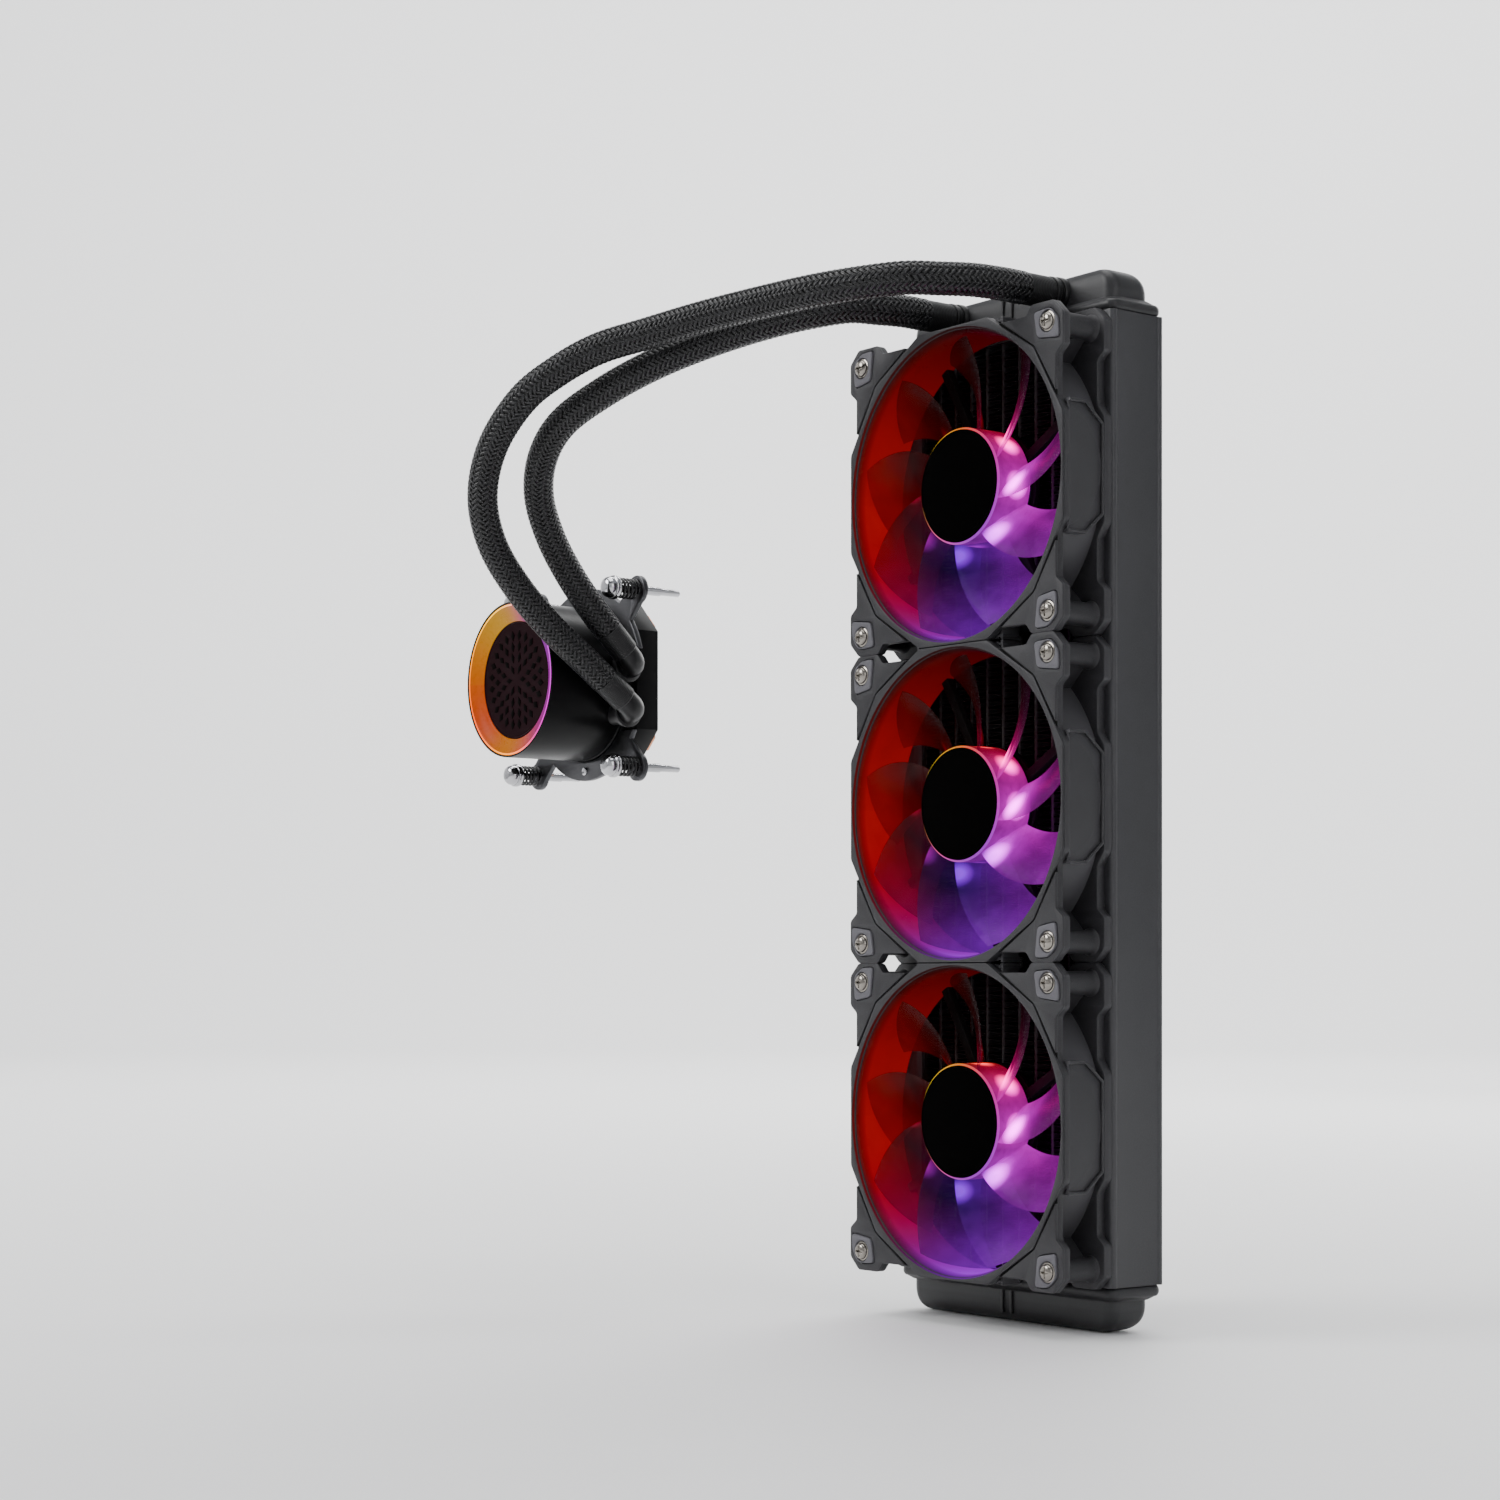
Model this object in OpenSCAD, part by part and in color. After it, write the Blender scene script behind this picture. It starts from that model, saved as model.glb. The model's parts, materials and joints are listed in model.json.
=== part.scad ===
/* [Radiator] */
// Depth of the radiator, from its rear face to the face that carries the fans
rad_depth = 27; // [26:0.5:28]
// Height of each end tank beyond the fan stack
tank_h = 17; // [16.5:0.5:20]
// Thickness of each flat core tube
tube_t = 1.8; // [1.4:0.1:2.4]
// Number of flat core tubes, half of them on each side of the divider
tube_count = 12; // [8:2:12]
// Depth of the tubes and fins, front to back
core_depth = 17; // [14:0.5:18]
// Length of one full wave of a fin strip
fin_pitch = 8; // [6:1:16]

/* [Fans] */
// Depth of each fan frame
fan_depth = 25; // [25:0.5:26]
// Radius of the air duct through a fan frame
duct_r = 57.5; // [57.2:0.1:57.8]
// Radius of the tips of the blades
blade_tip_r = 56.2; // [54:0.1:56.4]
// Number of blades on each fan
blade_count = 9; // [7:1:11]
// Angle of the blades to the plane of the fan
blade_pitch = 38; // [30:1:40]

/* [Pump] */
// Height of the pump head, from its cold plate to its front rim
pump_h = 56; // [54:0.5:60]
// Outer radius of the pump cover
pump_r = 33; // [32.8:0.1:33.2]
// Distance between neighbouring sprung screws of the pump bracket
socket_pitch = 75; // [74:0.5:76]

/* [Hoses] */
// Outer diameter of the braided hose sleeves
hose_d = 12.4; // [11:0.1:12.6]

/* [Hidden] */
$fn = 96;

// The fans are the standard 120 mm size, three in a column, centred on the origin in X and Z.
fan_size = 120;
hole_pitch = 105;
fan_count = 3;
half = fan_size / 2;
hole_at = hole_pitch / 2;
stack_half = fan_count * half;
rad_half = stack_half + tank_h;
fan_back_y = -rad_depth;
FAN_Z = [fan_size, 0, -fan_size];

// Radiator shell
lip_r = 1.8;
flange_in = 14;
flange_t = 1.5;
web_t = 1.3;
web_out = half - 0.5;
channel_half = stack_half - 0.5;
ledge_h = 4.5;
ledge_inset = 3.5;
tank_wall = 2;
dome_x = half - ledge_inset;
dome_front = -rad_depth + ledge_inset;
dome_rear = -ledge_inset;
core_y = -rad_depth / 2;
core_half_x = half - lip_r;
tapped_r = 1.45;
clear_r = 1.75;

// Core: a fin strip on each side of every tube
fin_gap = (2 * core_half_x - tube_count * tube_t) / (tube_count + 1);
tube_step = fin_gap + tube_t;
fin_t = 0.9;
fin_half_z = stack_half - 2.5;
fin_legs = floor(4 * fin_half_z / fin_pitch);
header_t = 1.5;
tube_half_z = stack_half + 0.5;

// Hose ends on the tank
port_x = 28;
port_z = stack_half + 10.5;
hose_start_y = -42;
ferrule_end_y = -29;

// Fan frame
fan_flange_t = 4;
duct_wall = 1.8;
post_r = 4.4;
fan_hole_r = 2.15;
recess = 1;
ring_opening_r = 59;
hub_r = 22;
hub_back = 5.2;
hub_front = fan_depth - 3.6;
cap_t = 0.6;
shaft_r = 1.5;
running_gap = 0.03;
OUTLINE = [
    [60, 19.2], [56.3, 24.5], [56.3, 40.5], [60, 43.5], [60, 55],
    [55, 60], [43.5, 60], [40.5, 56.3], [24.5, 56.3], [19.2, 60]
];
TRIM_OUTLINE = [[60, 19.2], [44.5, 44.5], [19.2, 60]];
PAD_OUTLINE = [[45.4, 56.7], [54, 57.3], [58.1, 52.7], [58.4, 45.9], [47, 47.3]];

// Pump head: its own axis points to -Y, with the cold plate face at pump_y
pump_x = -220;
pump_y = -52;
pump_z = 61;
port_depth = 20;
flange_top = 14;
base_r = 31;
base_top = 24;
bend_x = 42;
SUPPLY_BEND = [-178, -72, 47];
RETURN_BEND = [-178, -72, 66];
SUPPLY_LEG = [0, -4, 3];
RETURN_LEG = [0, -1, 1];
leg_l = 20;
elbow_r = 5.3;
elbow_bore = 2.9;
barb_r = 3.9;
cuff_r = 6;

// Hose routes, from the tank ports to the pump elbows
SUPPLY_ROUTE = [
    [28, -42, 190.5], [28, -52, 190.5], [26, -65, 190.5], [22, -77, 190], [15, -88, 190],
    [4, -98, 189], [-13, -107, 188], [-39, -114, 187], [-66, -122, 185], [-87, -130, 182],
    [-107, -140, 178], [-123, -148, 171], [-138, -154, 162], [-156, -157, 145],
    [-168, -154, 127], [-175, -145, 110], [-178, -131, 94], [-179, -114, 79],
    [-178, -96, 65], [-178, -88, 59]
];
RETURN_ROUTE = [
    [-28, -42, 190.5], [-28, -52, 190.5], [-29, -63, 190], [-33, -74, 190], [-41, -85, 188],
    [-55, -96, 185], [-76, -108, 180], [-97, -120, 173], [-118, -130, 164],
    [-138, -136, 154], [-153, -135, 143], [-165, -129, 130], [-173, -118, 115],
    [-177, -105, 100], [-178, -92, 86], [-178, -86, 80]
];

function turn(p, a) = [p.x * cos(a) - p.y * sin(a), p.x * sin(a) + p.y * cos(a)];
function four_sides(points) = [for (q = [0:3]) for (p = points) turn(p, 90 * q)];
function unit(v) = v / norm(v);

// The ring of points around one station of a swept tube
function tangent(route, i) =
    unit(route[min(i + 1, len(route) - 1)] - route[max(i - 1, 0)]);
function tube_ring(route, i, r, sides) =
    let (t = tangent(route, i))
    let (side = unit(cross(t, [0.3, 0.2, 1])))
    let (up = cross(side, t))
    [for (k = [0:sides - 1]) route[i] + r * (side * cos(360 * k / sides) + up * sin(360 * k / sides))];

module swept_tube(route, r, sides) {
    rings = len(route);
    last = (rings - 1) * sides;
    points = [for (i = [0:rings - 1]) each tube_ring(route, i, r, sides)];
    walls = [for (i = [0:rings - 2]) for (k = [0:sides - 1])
        [i * sides + k, i * sides + (k + 1) % sides,
         (i + 1) * sides + (k + 1) % sides, (i + 1) * sides + k]];
    start = [for (k = [0:sides - 1]) sides - 1 - k];
    end = [for (k = [0:sides - 1]) last + k];
    polyhedron(points, concat([start], walls, [end]), convexity = 6);
}

// Places children so that their own Z runs to -Y and their own Y runs up
module facing(x, y, z) {
    translate([x, y, z]) rotate([90, 0, 0]) children();
}

// Places children so that their own Z runs along direction d from point p
module along(p, d) {
    translate(p) rotate([0, acos(d.z / norm(d)), atan2(d.y, d.x)]) children();
}

module ring(outer, inner, h) {
    difference() {
        cylinder(h = h, r = outer);
        translate([0, 0, -1]) cylinder(h = h + 2, r = inner);
    }
}

// The four screw places of a fan, around the children's own Z
module at_corners(d = hole_at) {
    for (q = [0:3]) rotate([0, 0, 90 * q]) translate([d, d, 0]) children();
}

module in_fan(i) {
    facing(0, fan_back_y, FAN_Z[i]) children();
}

module in_pump() {
    facing(pump_x, pump_y, pump_z) children();
}

// ---- Radiator ----

module rounded_plan(hx, y0, y1, r) {
    square_y = (y0 + y1) / 2;
    square_h = y1 - y0;
    translate([0, square_y]) square([2 * hx - 2 * r, square_h], center = true);
    translate([0, square_y]) square([2 * hx, square_h - 2 * r], center = true);
    for (sx = [-1, 1]) for (y = [y0 + r, y1 - r]) translate([sx * (hx - r), y]) circle(r);
}

// A dome with rounded corners in all three views, standing on z0
module dome(hx, y0, y1, z0, z1, r_corner, r_front, r_rear, r_end) {
    intersection() {
        translate([0, 0, z0]) linear_extrude(z1 - z0) rounded_plan(hx, y0, y1, r_corner);
        rotate([90, 0, 90]) translate([0, 0, -hx - 1]) linear_extrude(2 * hx + 2) union() {
            translate([y0, z0]) square([y1 - y0, z1 - z0 - r_rear]);
            translate([y0 + r_front, z0]) square([y1 - y0 - r_front - r_rear, z1 - z0]);
            translate([y0, z0]) square([y1 - y0 - r_rear, z1 - z0 - r_front]);
            translate([y0 + r_front, z1 - r_front]) circle(r_front);
            translate([y1 - r_rear, z1 - r_rear]) circle(r_rear);
        }
        rotate([90, 0, 0]) translate([0, 0, -y1 - 1]) linear_extrude(y1 - y0 + 2) union() {
            translate([-hx, z0]) square([2 * hx, z1 - z0 - r_end]);
            translate([-hx + r_end, z0]) square([2 * hx - 2 * r_end, z1 - z0]);
            for (sx = [-1, 1]) translate([sx * (hx - r_end), z1 - r_end]) circle(r_end);
        }
    }
}

module tank_outside() {
    translate([0, 0, channel_half]) linear_extrude(ledge_h) rounded_plan(half, -rad_depth, 0, 4);
    dome(dome_x, dome_front, dome_rear, channel_half + 1, rad_half, 5, 3, 8, 10);
}

module tank_cavity() {
    w = tank_wall;
    dome(dome_x - w, dome_front + w, dome_rear - w, channel_half - 1, rad_half - w, 3, 1.5, 6, 8);
}

module tank_shell() {
    difference() {
        tank_outside();
        tank_cavity();
    }
}

module fin_strip(x) {
    wave_left = [for (i = [0:fin_legs]) [
        x + (i % 2) * (fin_gap - fin_t),
        -fin_half_z + i * fin_pitch / 2]];
    wave_right = [for (i = [fin_legs:-1:0]) wave_left[i] + [fin_t, 0]];
    facing(0, core_y + core_depth / 2, 0)
        linear_extrude(core_depth) polygon(concat(wave_left, wave_right));
}

module fin_pack() {
    color("#1d1d1f")
        for (i = [0:tube_count]) fin_strip(-core_half_x + i * tube_step);
}

module flat_tube_section(depth, t) {
    square([t, depth - t], center = true);
    for (sy = [-1, 1]) translate([0, sy * (depth - t) / 2]) circle(t / 2);
}

module at_tubes() {
    for (i = [0:tube_count - 1])
        translate([-core_half_x + fin_gap + tube_t / 2 + i * tube_step, core_y, 0]) children();
}

module core_tubes() {
    tube_wall = 0.3;
    color("dimgray") at_tubes()
        translate([0, 0, -tube_half_z]) linear_extrude(2 * tube_half_z) difference() {
            flat_tube_section(core_depth, tube_t);
            flat_tube_section(core_depth - 2 * tube_wall, tube_t - 2 * tube_wall);
        }
}

module header_plates() {
    inset = 2 * lip_r + 0.1;
    plate_h = rad_depth - 2 * inset;
    color("dimgray") for (z = [-channel_half, channel_half - header_t])
        difference() {
            translate([-core_half_x, -rad_depth + inset, z]) cube([2 * core_half_x, plate_h, header_t]);
            translate([0, 0, z - 1]) at_tubes()
                linear_extrude(header_t + 2) flat_tube_section(core_depth, tube_t);
        }
}

module inlet_tank() {
    rib_w = 1.2;
    rib_gap = 5;
    color("#232324") difference() {
        union() {
            tank_shell();
            for (sx = [-1, 1])
                translate([sx * rib_gap / 2 - rib_w / 2, dome_front - 1, channel_half + 2])
                    cube([rib_w, 3, tank_h - 6]);
        }
        for (sx = [-1, 1]) facing(sx * port_x, dome_front + 6, port_z) cylinder(h = 12, r = 4.65);
    }
}

plug_x = 40;
plug_y = -16;
plug_head_r = 3.6;
plug_thread_r = 2.4;

module return_tank() {
    boss_h = 6;
    color("#232324") difference() {
        union() {
            mirror([0, 0, 1]) tank_shell();
            translate([plug_x, plug_y, -rad_half + 1]) cylinder(h = boss_h, r = 5);
        }
        translate([plug_x, plug_y, -rad_half - 1]) cylinder(h = 3.2, r = plug_head_r + 0.2);
        translate([plug_x, plug_y, -rad_half]) cylinder(h = boss_h + 4, r = plug_thread_r + 0.05);
    }
}

module tank_divider() {
    divider_t = 1.6;
    color("#232324") intersection() {
        tank_cavity();
        translate([-divider_t / 2, -rad_depth, channel_half]) cube([divider_t, rad_depth, tank_h]);
    }
}

module side_channel() {
    bar_y = rad_depth - 2 * lip_r;
    difference() {
        translate([0, 0, -channel_half]) linear_extrude(2 * channel_half) union() {
            translate([web_out - web_t, -rad_depth + lip_r]) square([web_t, bar_y]);
            for (y = [-rad_depth, -flange_t])
                translate([half - flange_in, y]) square([flange_in - lip_r, flange_t]);
            for (y = [-rad_depth + lip_r, -lip_r]) translate([half - lip_r, y]) circle(lip_r);
        }
        for (z = FAN_Z) for (sz = [-1, 1])
            facing(hole_at, 0, z + sz * hole_at) {
                translate([0, 0, -1]) cylinder(h = flange_t + 2, r = tapped_r);
                translate([0, 0, rad_depth - flange_t - 1]) cylinder(h = flange_t + 2, r = clear_r);
            }
    }
}

module side_channel_right() {
    color("#3e3e40") side_channel();
}

module side_channel_left() {
    color("#3e3e40") mirror([1, 0, 0]) side_channel();
}

module tank_ports() {
    stem_back = dome_front + tank_wall;
    stem_l = stem_back - ferrule_end_y;
    color("#1a1a1b") for (sx = [-1, 1]) facing(sx * port_x, stem_back, port_z) difference() {
        union() {
            cylinder(h = stem_l, r = 4.6);
            cylinder(h = stem_l + 10, r = barb_r);
        }
        translate([0, 0, -1]) cylinder(h = stem_l + 12, r = elbow_bore);
    }
}

module port_ferrules() {
    steps = [[6.4, 2], [5.7, 1.6], [6.2, 1.9]];
    starts = [0, 2, 3.6];
    color("#161617") for (sx = [-1, 1]) facing(sx * port_x, dome_front, port_z) difference() {
        for (i = [0:2]) translate([0, 0, starts[i]]) cylinder(h = steps[i][1], r = steps[i][0]);
        translate([0, 0, -1]) cylinder(h = 8, r = 4.65);
    }
}

module fill_plug() {
    color("#161617") translate([plug_x, plug_y, -rad_half]) difference() {
        union() {
            cylinder(h = 1.2, r = plug_head_r);
            cylinder(h = 7, r = plug_thread_r);
        }
        translate([0, 0, -1]) cylinder(h = 3, r = 1.6, $fn = 6);
    }
}

module fill_plug_seal() {
    color("#101010") translate([plug_x, plug_y, -rad_half + 1.2]) ring(plug_head_r, plug_thread_r, 1);
}

// ---- Fans ----

module fan_outline() {
    polygon(four_sides(OUTLINE));
}

module side_panels() {
    panel_w = fan_depth - 2 * fan_flange_t;
    rim = 1.2;
    top = 24.3;
    low = 16.8;
    bend = 8.7;
    shield_r = 23.2;
    shield_low = 1.6;
    outline = [[-top, panel_w], [-top, bend], [-low, 0], [low, 0], [top, bend], [top, panel_w]];
    inside = [
        [rim - top, panel_w + 1], [rim - top, bend + rim / 2], [rim / 2 - low, rim],
        [low - rim / 2, rim], [top - rim, bend + rim / 2], [top - rim, panel_w + 1]
    ];
    for (q = [0:3]) rotate([0, 0, 90 * q]) translate([half, 0, fan_flange_t]) rotate([90, 0, 90]) {
        translate([0, 0, -3]) linear_extrude(2.4) polygon(outline);
        translate([0, 0, -0.7]) linear_extrude(0.65) difference() {
            polygon(outline);
            polygon(inside);
        }
        translate([0, 0, -0.7]) linear_extrude(0.4) intersection() {
            translate([0, shield_low + shield_r]) circle(shield_r);
            translate([-top, 0]) square([2 * top, panel_w]);
        }
    }
}

module fan_struts() {
    strut_w = 4;
    strut_t = 3.5;
    for (q = [0:3]) rotate([0, 0, 90 * q + 30])
        translate([hub_r - 2, -strut_w / 2, 0]) cube([duct_r - hub_r + 3, strut_w, strut_t]);
}

module gussets() {
    gusset_t = 1.6;
    for (q = [0:3]) rotate([0, 0, 90 * q + 45])
        translate([duct_r, -gusset_t / 2, 1]) cube([hole_at * sqrt(2) - duct_r, gusset_t, fan_depth - 2]);
}

module fan_frame() {
    base_t = 2.5;
    tube_r = 4.6;
    tube_top = 16.5;
    difference() {
        union() {
            linear_extrude(fan_flange_t) fan_outline();
            translate([0, 0, fan_depth - fan_flange_t]) linear_extrude(fan_flange_t) fan_outline();
            cylinder(h = fan_depth, r = duct_r + duct_wall);
            at_corners() cylinder(h = fan_depth, r = post_r);
            side_panels();
            gussets();
        }
        translate([0, 0, -1]) cylinder(h = fan_depth + 2, r = duct_r);
        translate([0, 0, fan_depth - 4]) cylinder(h = 4.01, r1 = duct_r, r2 = ring_opening_r);
        at_corners() translate([0, 0, -1]) cylinder(h = fan_depth + 2, r = fan_hole_r);
        translate([0, 0, fan_depth - recess]) linear_extrude(recess + 1) {
            polygon(four_sides(TRIM_OUTLINE));
            for (q = [0:3]) polygon([for (p = PAD_OUTLINE) turn(p, 90 * q)]);
        }
    }
    fan_struts();
    difference() {
        union() {
            cylinder(h = base_t, r = hub_r);
            cylinder(h = tube_top, r = tube_r);
        }
        translate([0, 0, 1.5]) cylinder(h = tube_top, r = 3.4);
    }
}

module fan_trim() {
    inset_scale = 0.9965;
    difference() {
        translate([0, 0, fan_depth - recess]) linear_extrude(recess) scale(inset_scale) intersection() {
            polygon(four_sides(TRIM_OUTLINE));
            fan_outline();
        }
        translate([0, 0, fan_depth - recess - 0.01])
            cylinder(h = recess + 0.02, r1 = 58.2, r2 = ring_opening_r);
    }
}

module blade() {
    chord = 24;
    blade_t = 1.2;
    mid_z = (hub_back + hub_front) / 2;
    root_x = 16;
    intersection() {
        cylinder(h = fan_depth, r = blade_tip_r);
        translate([0, 0, mid_z]) rotate([-blade_pitch, 0, 0])
            translate([root_x, -chord / 2, -blade_t / 2]) cube([half - root_x, chord, blade_t]);
    }
}

module fan_rotor() {
    cup_wall = 1.5;
    difference() {
        union() {
            difference() {
                union() {
                    translate([0, 0, hub_back]) cylinder(h = hub_front - hub_back, r = hub_r);
                    for (k = [0:blade_count - 1]) rotate([0, 0, k * 360 / blade_count]) blade();
                }
                translate([0, 0, hub_back - 1])
                    cylinder(h = hub_front - hub_back - 0.8, r = hub_r - cup_wall);
            }
            translate([0, 0, hub_front - 4]) cylinder(h = 3, r = 4);
        }
        translate([0, 0, hub_back]) cylinder(h = hub_front - 1 - hub_back, r = shaft_r);
    }
}

module fan_cap() {
    translate([0, 0, hub_front]) cylinder(h = cap_t, r = hub_r - 0.7);
}

module fan_magnet() {
    translate([0, 0, 7]) ring(hub_r - 1.6, 18.7, 11);
}

module fan_shaft() {
    translate([0, 0, 1.8]) cylinder(h = hub_front - 1 - 1.8, r = shaft_r);
}

module fan_bearing() {
    translate([0, 0, 1.6]) ring(3.35, shaft_r + running_gap, 14.6);
}

module fan_stator() {
    poles = 4;
    pole_w = 9;
    difference() {
        union() {
            translate([0, 0, 6]) cylinder(h = 9, r = 9);
            for (k = [0:poles - 1]) rotate([0, 0, 360 * k / poles]) {
                translate([0, -pole_w / 2 + 2, 7]) cube([16, pole_w - 4, 7]);
                intersection() {
                    translate([0, 0, 6]) ring(17.8, 15.4, 9);
                    translate([0, -pole_w, 5]) cube([20, 2 * pole_w, 12]);
                }
            }
        }
        translate([0, 0, 5]) cylinder(h = 11, r = 4.65);
    }
}

module fan_board() {
    board_t = 1;
    led_count = 8;
    translate([0, 0, 2.5]) ring(19.6, 4.8, board_t);
    for (k = [0:led_count - 1]) rotate([0, 0, 360 * k / led_count])
        translate([16.2, -1.75, 2.5 + board_t]) cube([3, 3.5, 1.1]);
}

module corner_pads() {
    pad_rise = 0.7;
    color("#707278") for (i = [0:fan_count - 1]) in_fan(i) for (q = [0:3])
        translate([0, 0, fan_depth - recess]) rotate([0, 0, 90 * q]) difference() {
            linear_extrude(recess + pad_rise) polygon(PAD_OUTLINE);
            translate([hole_at, hole_at, -1]) cylinder(h = 4, r = 4);
        }
}

module fan_screw() {
    shank_r = 1.4;
    tip = 3;
    difference() {
        union() {
            translate([0, 0, -tip]) cylinder(h = fan_depth + tip - recess, r = shank_r);
            translate([0, 0, fan_depth - recess]) cylinder(h = 1.4, r = 3.8);
            translate([0, 0, fan_depth]) cylinder(h = 2.2, r = 3.1);
        }
        for (a = [0, 90]) rotate([0, 0, a]) translate([-2, -0.5, fan_depth + 0.9]) cube([4, 1, 2]);
    }
}

module fan_screws() {
    color("#b9b3a8") for (i = [0:fan_count - 1]) in_fan(i) at_corners() fan_screw();
}

module one_fan_part(i, part) {
    in_fan(i) {
        if (part == "frame") color("#333437") fan_frame();
        if (part == "trim") color("#2b2b2e") fan_trim();
        if (part == "rotor") color([0.45, 0.1, 0.5, 0.6]) fan_rotor();
        if (part == "cap") color("#080809") fan_cap();
        if (part == "magnet") color("#3a3a3c") fan_magnet();
        if (part == "shaft") color("silver") fan_shaft();
        if (part == "bearing") color("#b08d57") fan_bearing();
        if (part == "stator") color("#7d5a3a") fan_stator();
        if (part == "board") color("#14301f") fan_board();
    }
}

// ---- Hoses ----

module supply_hose() {
    color("#1c1c1e") swept_tube(SUPPLY_ROUTE, hose_d / 2, 12);
}

module return_hose() {
    color("#1c1c1e") swept_tube(RETURN_ROUTE, hose_d / 2, 12);
}

module elbow_leg(bend, leg) {
    along(bend, leg) children();
}

cuff_at = 7;

module cuff(length) {
    ring(cuff_r, barb_r + 0.05, length);
}

module hose_cuffs() {
    tank_cuff_l = ferrule_end_y - hose_start_y;
    return_leg_l = norm(RETURN_ROUTE[15] - RETURN_BEND);
    color("#171718") {
        for (sx = [-1, 1]) facing(sx * port_x, ferrule_end_y, port_z) cuff(tank_cuff_l);
        elbow_leg(SUPPLY_BEND, SUPPLY_LEG) translate([0, 0, cuff_at]) cuff(leg_l - cuff_at);
        elbow_leg(RETURN_BEND, RETURN_LEG) translate([0, 0, cuff_at]) cuff(return_leg_l - cuff_at);
    }
}

module elbow(bend, leg) {
    stub_l = bend_x - 25.4;
    difference() {
        union() {
            translate(bend) rotate([0, -90, 0]) cylinder(h = stub_l, r = elbow_r);
            translate(bend - [6.6, 0, 0]) rotate([0, 90, 0]) cylinder(h = 2.4, r = 6.8);
            along(bend, cross([1, 0, 0], leg)) sphere(r = elbow_r);
            elbow_leg(bend, leg) {
                cylinder(h = cuff_at, r = elbow_r);
                cylinder(h = leg_l - 1.5, r = barb_r);
            }
        }
        translate(bend) rotate([0, -90, 0]) cylinder(h = stub_l + 1, r = elbow_bore);
        along(bend, cross([1, 0, 0], leg)) sphere(r = elbow_bore);
        elbow_leg(bend, leg) cylinder(h = leg_l, r = elbow_bore);
    }
}

module supply_elbow() {
    color("#18181a") elbow(SUPPLY_BEND, SUPPLY_LEG);
}

module return_elbow() {
    color("#18181a") elbow(RETURN_BEND, RETURN_LEG);
}

// ---- Pump head ----

module cold_plate() {
    plate = 29;
    corner = 5;
    fin_count = 20;
    fin_span = 26;
    color("#b5683c") in_pump() {
        linear_extrude(3) polygon(four_sides([[plate, plate - corner], [plate - corner, plate]]));
        for (i = [0:fin_count - 1])
            translate([-fin_span / 2 + i * fin_span / (fin_count - 1) - 0.25, -fin_span / 2, 3])
                cube([0.5, fin_span, 2.6]);
    }
}

module cold_plate_seal() {
    color("#101010") in_pump() translate([0, 0, 4]) rotate_extrude() translate([23, 0]) circle(0.95);
}

module pump_ports(r, from_x) {
    for (z = [SUPPLY_BEND.z, RETURN_BEND.z])
        translate([from_x, z - pump_z, port_depth]) rotate([0, 90, 0]) cylinder(h = 40, r = r);
}

module pump_base() {
    flange = 35;
    corner = 14;
    color("#202022") in_pump() difference() {
        union() {
            translate([0, 0, 3]) linear_extrude(flange_top - 3)
                polygon(four_sides([[flange, flange - corner], [flange - corner, flange]]));
            cylinder(h = base_top, r = base_r);
        }
        translate([0, 0, -1]) cylinder(h = 4, r = 60);
        translate([0, 0, 2]) cylinder(h = 5, r = 20);
        translate([0, 0, 12]) cylinder(h = base_top, r = 15);
        translate([0, 0, 2]) ring(24, 22, 3);
        translate([0, 0, 5]) cylinder(h = 20, r = shaft_r + 0.02);
        for (a = [0, 90, 180, 270]) rotate([0, 0, a + 45]) translate([7, 0, 5]) cylinder(h = 10, r = 2);
        pump_ports(elbow_r + 0.1, 25.2);
        pump_ports(elbow_bore, 8);
    }
}

module pump_can() {
    color("#2a2a2c") in_pump() difference() {
        union() {
            translate([0, 0, base_top]) cylinder(h = 2, r = 24);
            translate([0, 0, base_top]) cylinder(h = 14, r = 11.4);
        }
        translate([0, 0, base_top - 1]) cylinder(h = 13, r = 10.6);
        translate([0, 0, base_top]) cylinder(h = 13.2, r = shaft_r + 0.02);
    }
}

module impeller() {
    vane_count = 6;
    color("#d8d6ce") in_pump() difference() {
        union() {
            translate([0, 0, 16.5]) cylinder(h = 1.5, r = 13.5);
            for (k = [0:vane_count - 1]) rotate([0, 0, 60 * k])
                translate([4, 0, 13.2]) rotate([0, 0, 25]) cube([8.5, 1.2, 4]);
            translate([0, 0, 13.2]) cylinder(h = 20.5, r = 4.6);
            translate([0, 0, 18]) cylinder(h = 15, r = 9.6);
        }
        translate([0, 0, 12]) cylinder(h = 24, r = shaft_r + running_gap);
    }
}

module impeller_pin() {
    color("white") in_pump() translate([0, 0, 7.2]) cylinder(h = 29.6, r = shaft_r);
}

module pump_stator() {
    poles = 6;
    color("#8a4f2a") in_pump() {
        translate([0, 0, 28]) ring(24, 21, 8);
        for (k = [0:poles - 1]) rotate([0, 0, 60 * k]) {
            translate([11.8, -3, 28.5]) cube([9.6, 6, 7]);
        }
    }
}

module pump_board() {
    led_count = 12;
    color("#14301f") in_pump() {
        translate([0, 0, 43]) cylinder(h = 1.6, r = 30.6);
        for (k = [0:led_count - 1]) rotate([0, 0, 30 * k]) translate([26, -1.75, 44.6]) cube([3, 3.5, 1.4]);
    }
}

module pump_cover() {
    color("#0c0c0d") in_pump() difference() {
        translate([0, 0, flange_top]) cylinder(h = pump_h - flange_top, r = pump_r);
        translate([0, 0, flange_top - 1]) cylinder(h = 33, r = base_r + 0.1);
        translate([0, 0, 30]) cylinder(h = 15, r = 31);
        translate([0, 0, 44]) cylinder(h = pump_h, r = pump_r - 0.8);
        pump_ports(elbow_r + 0.3, 20);
    }
}

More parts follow.
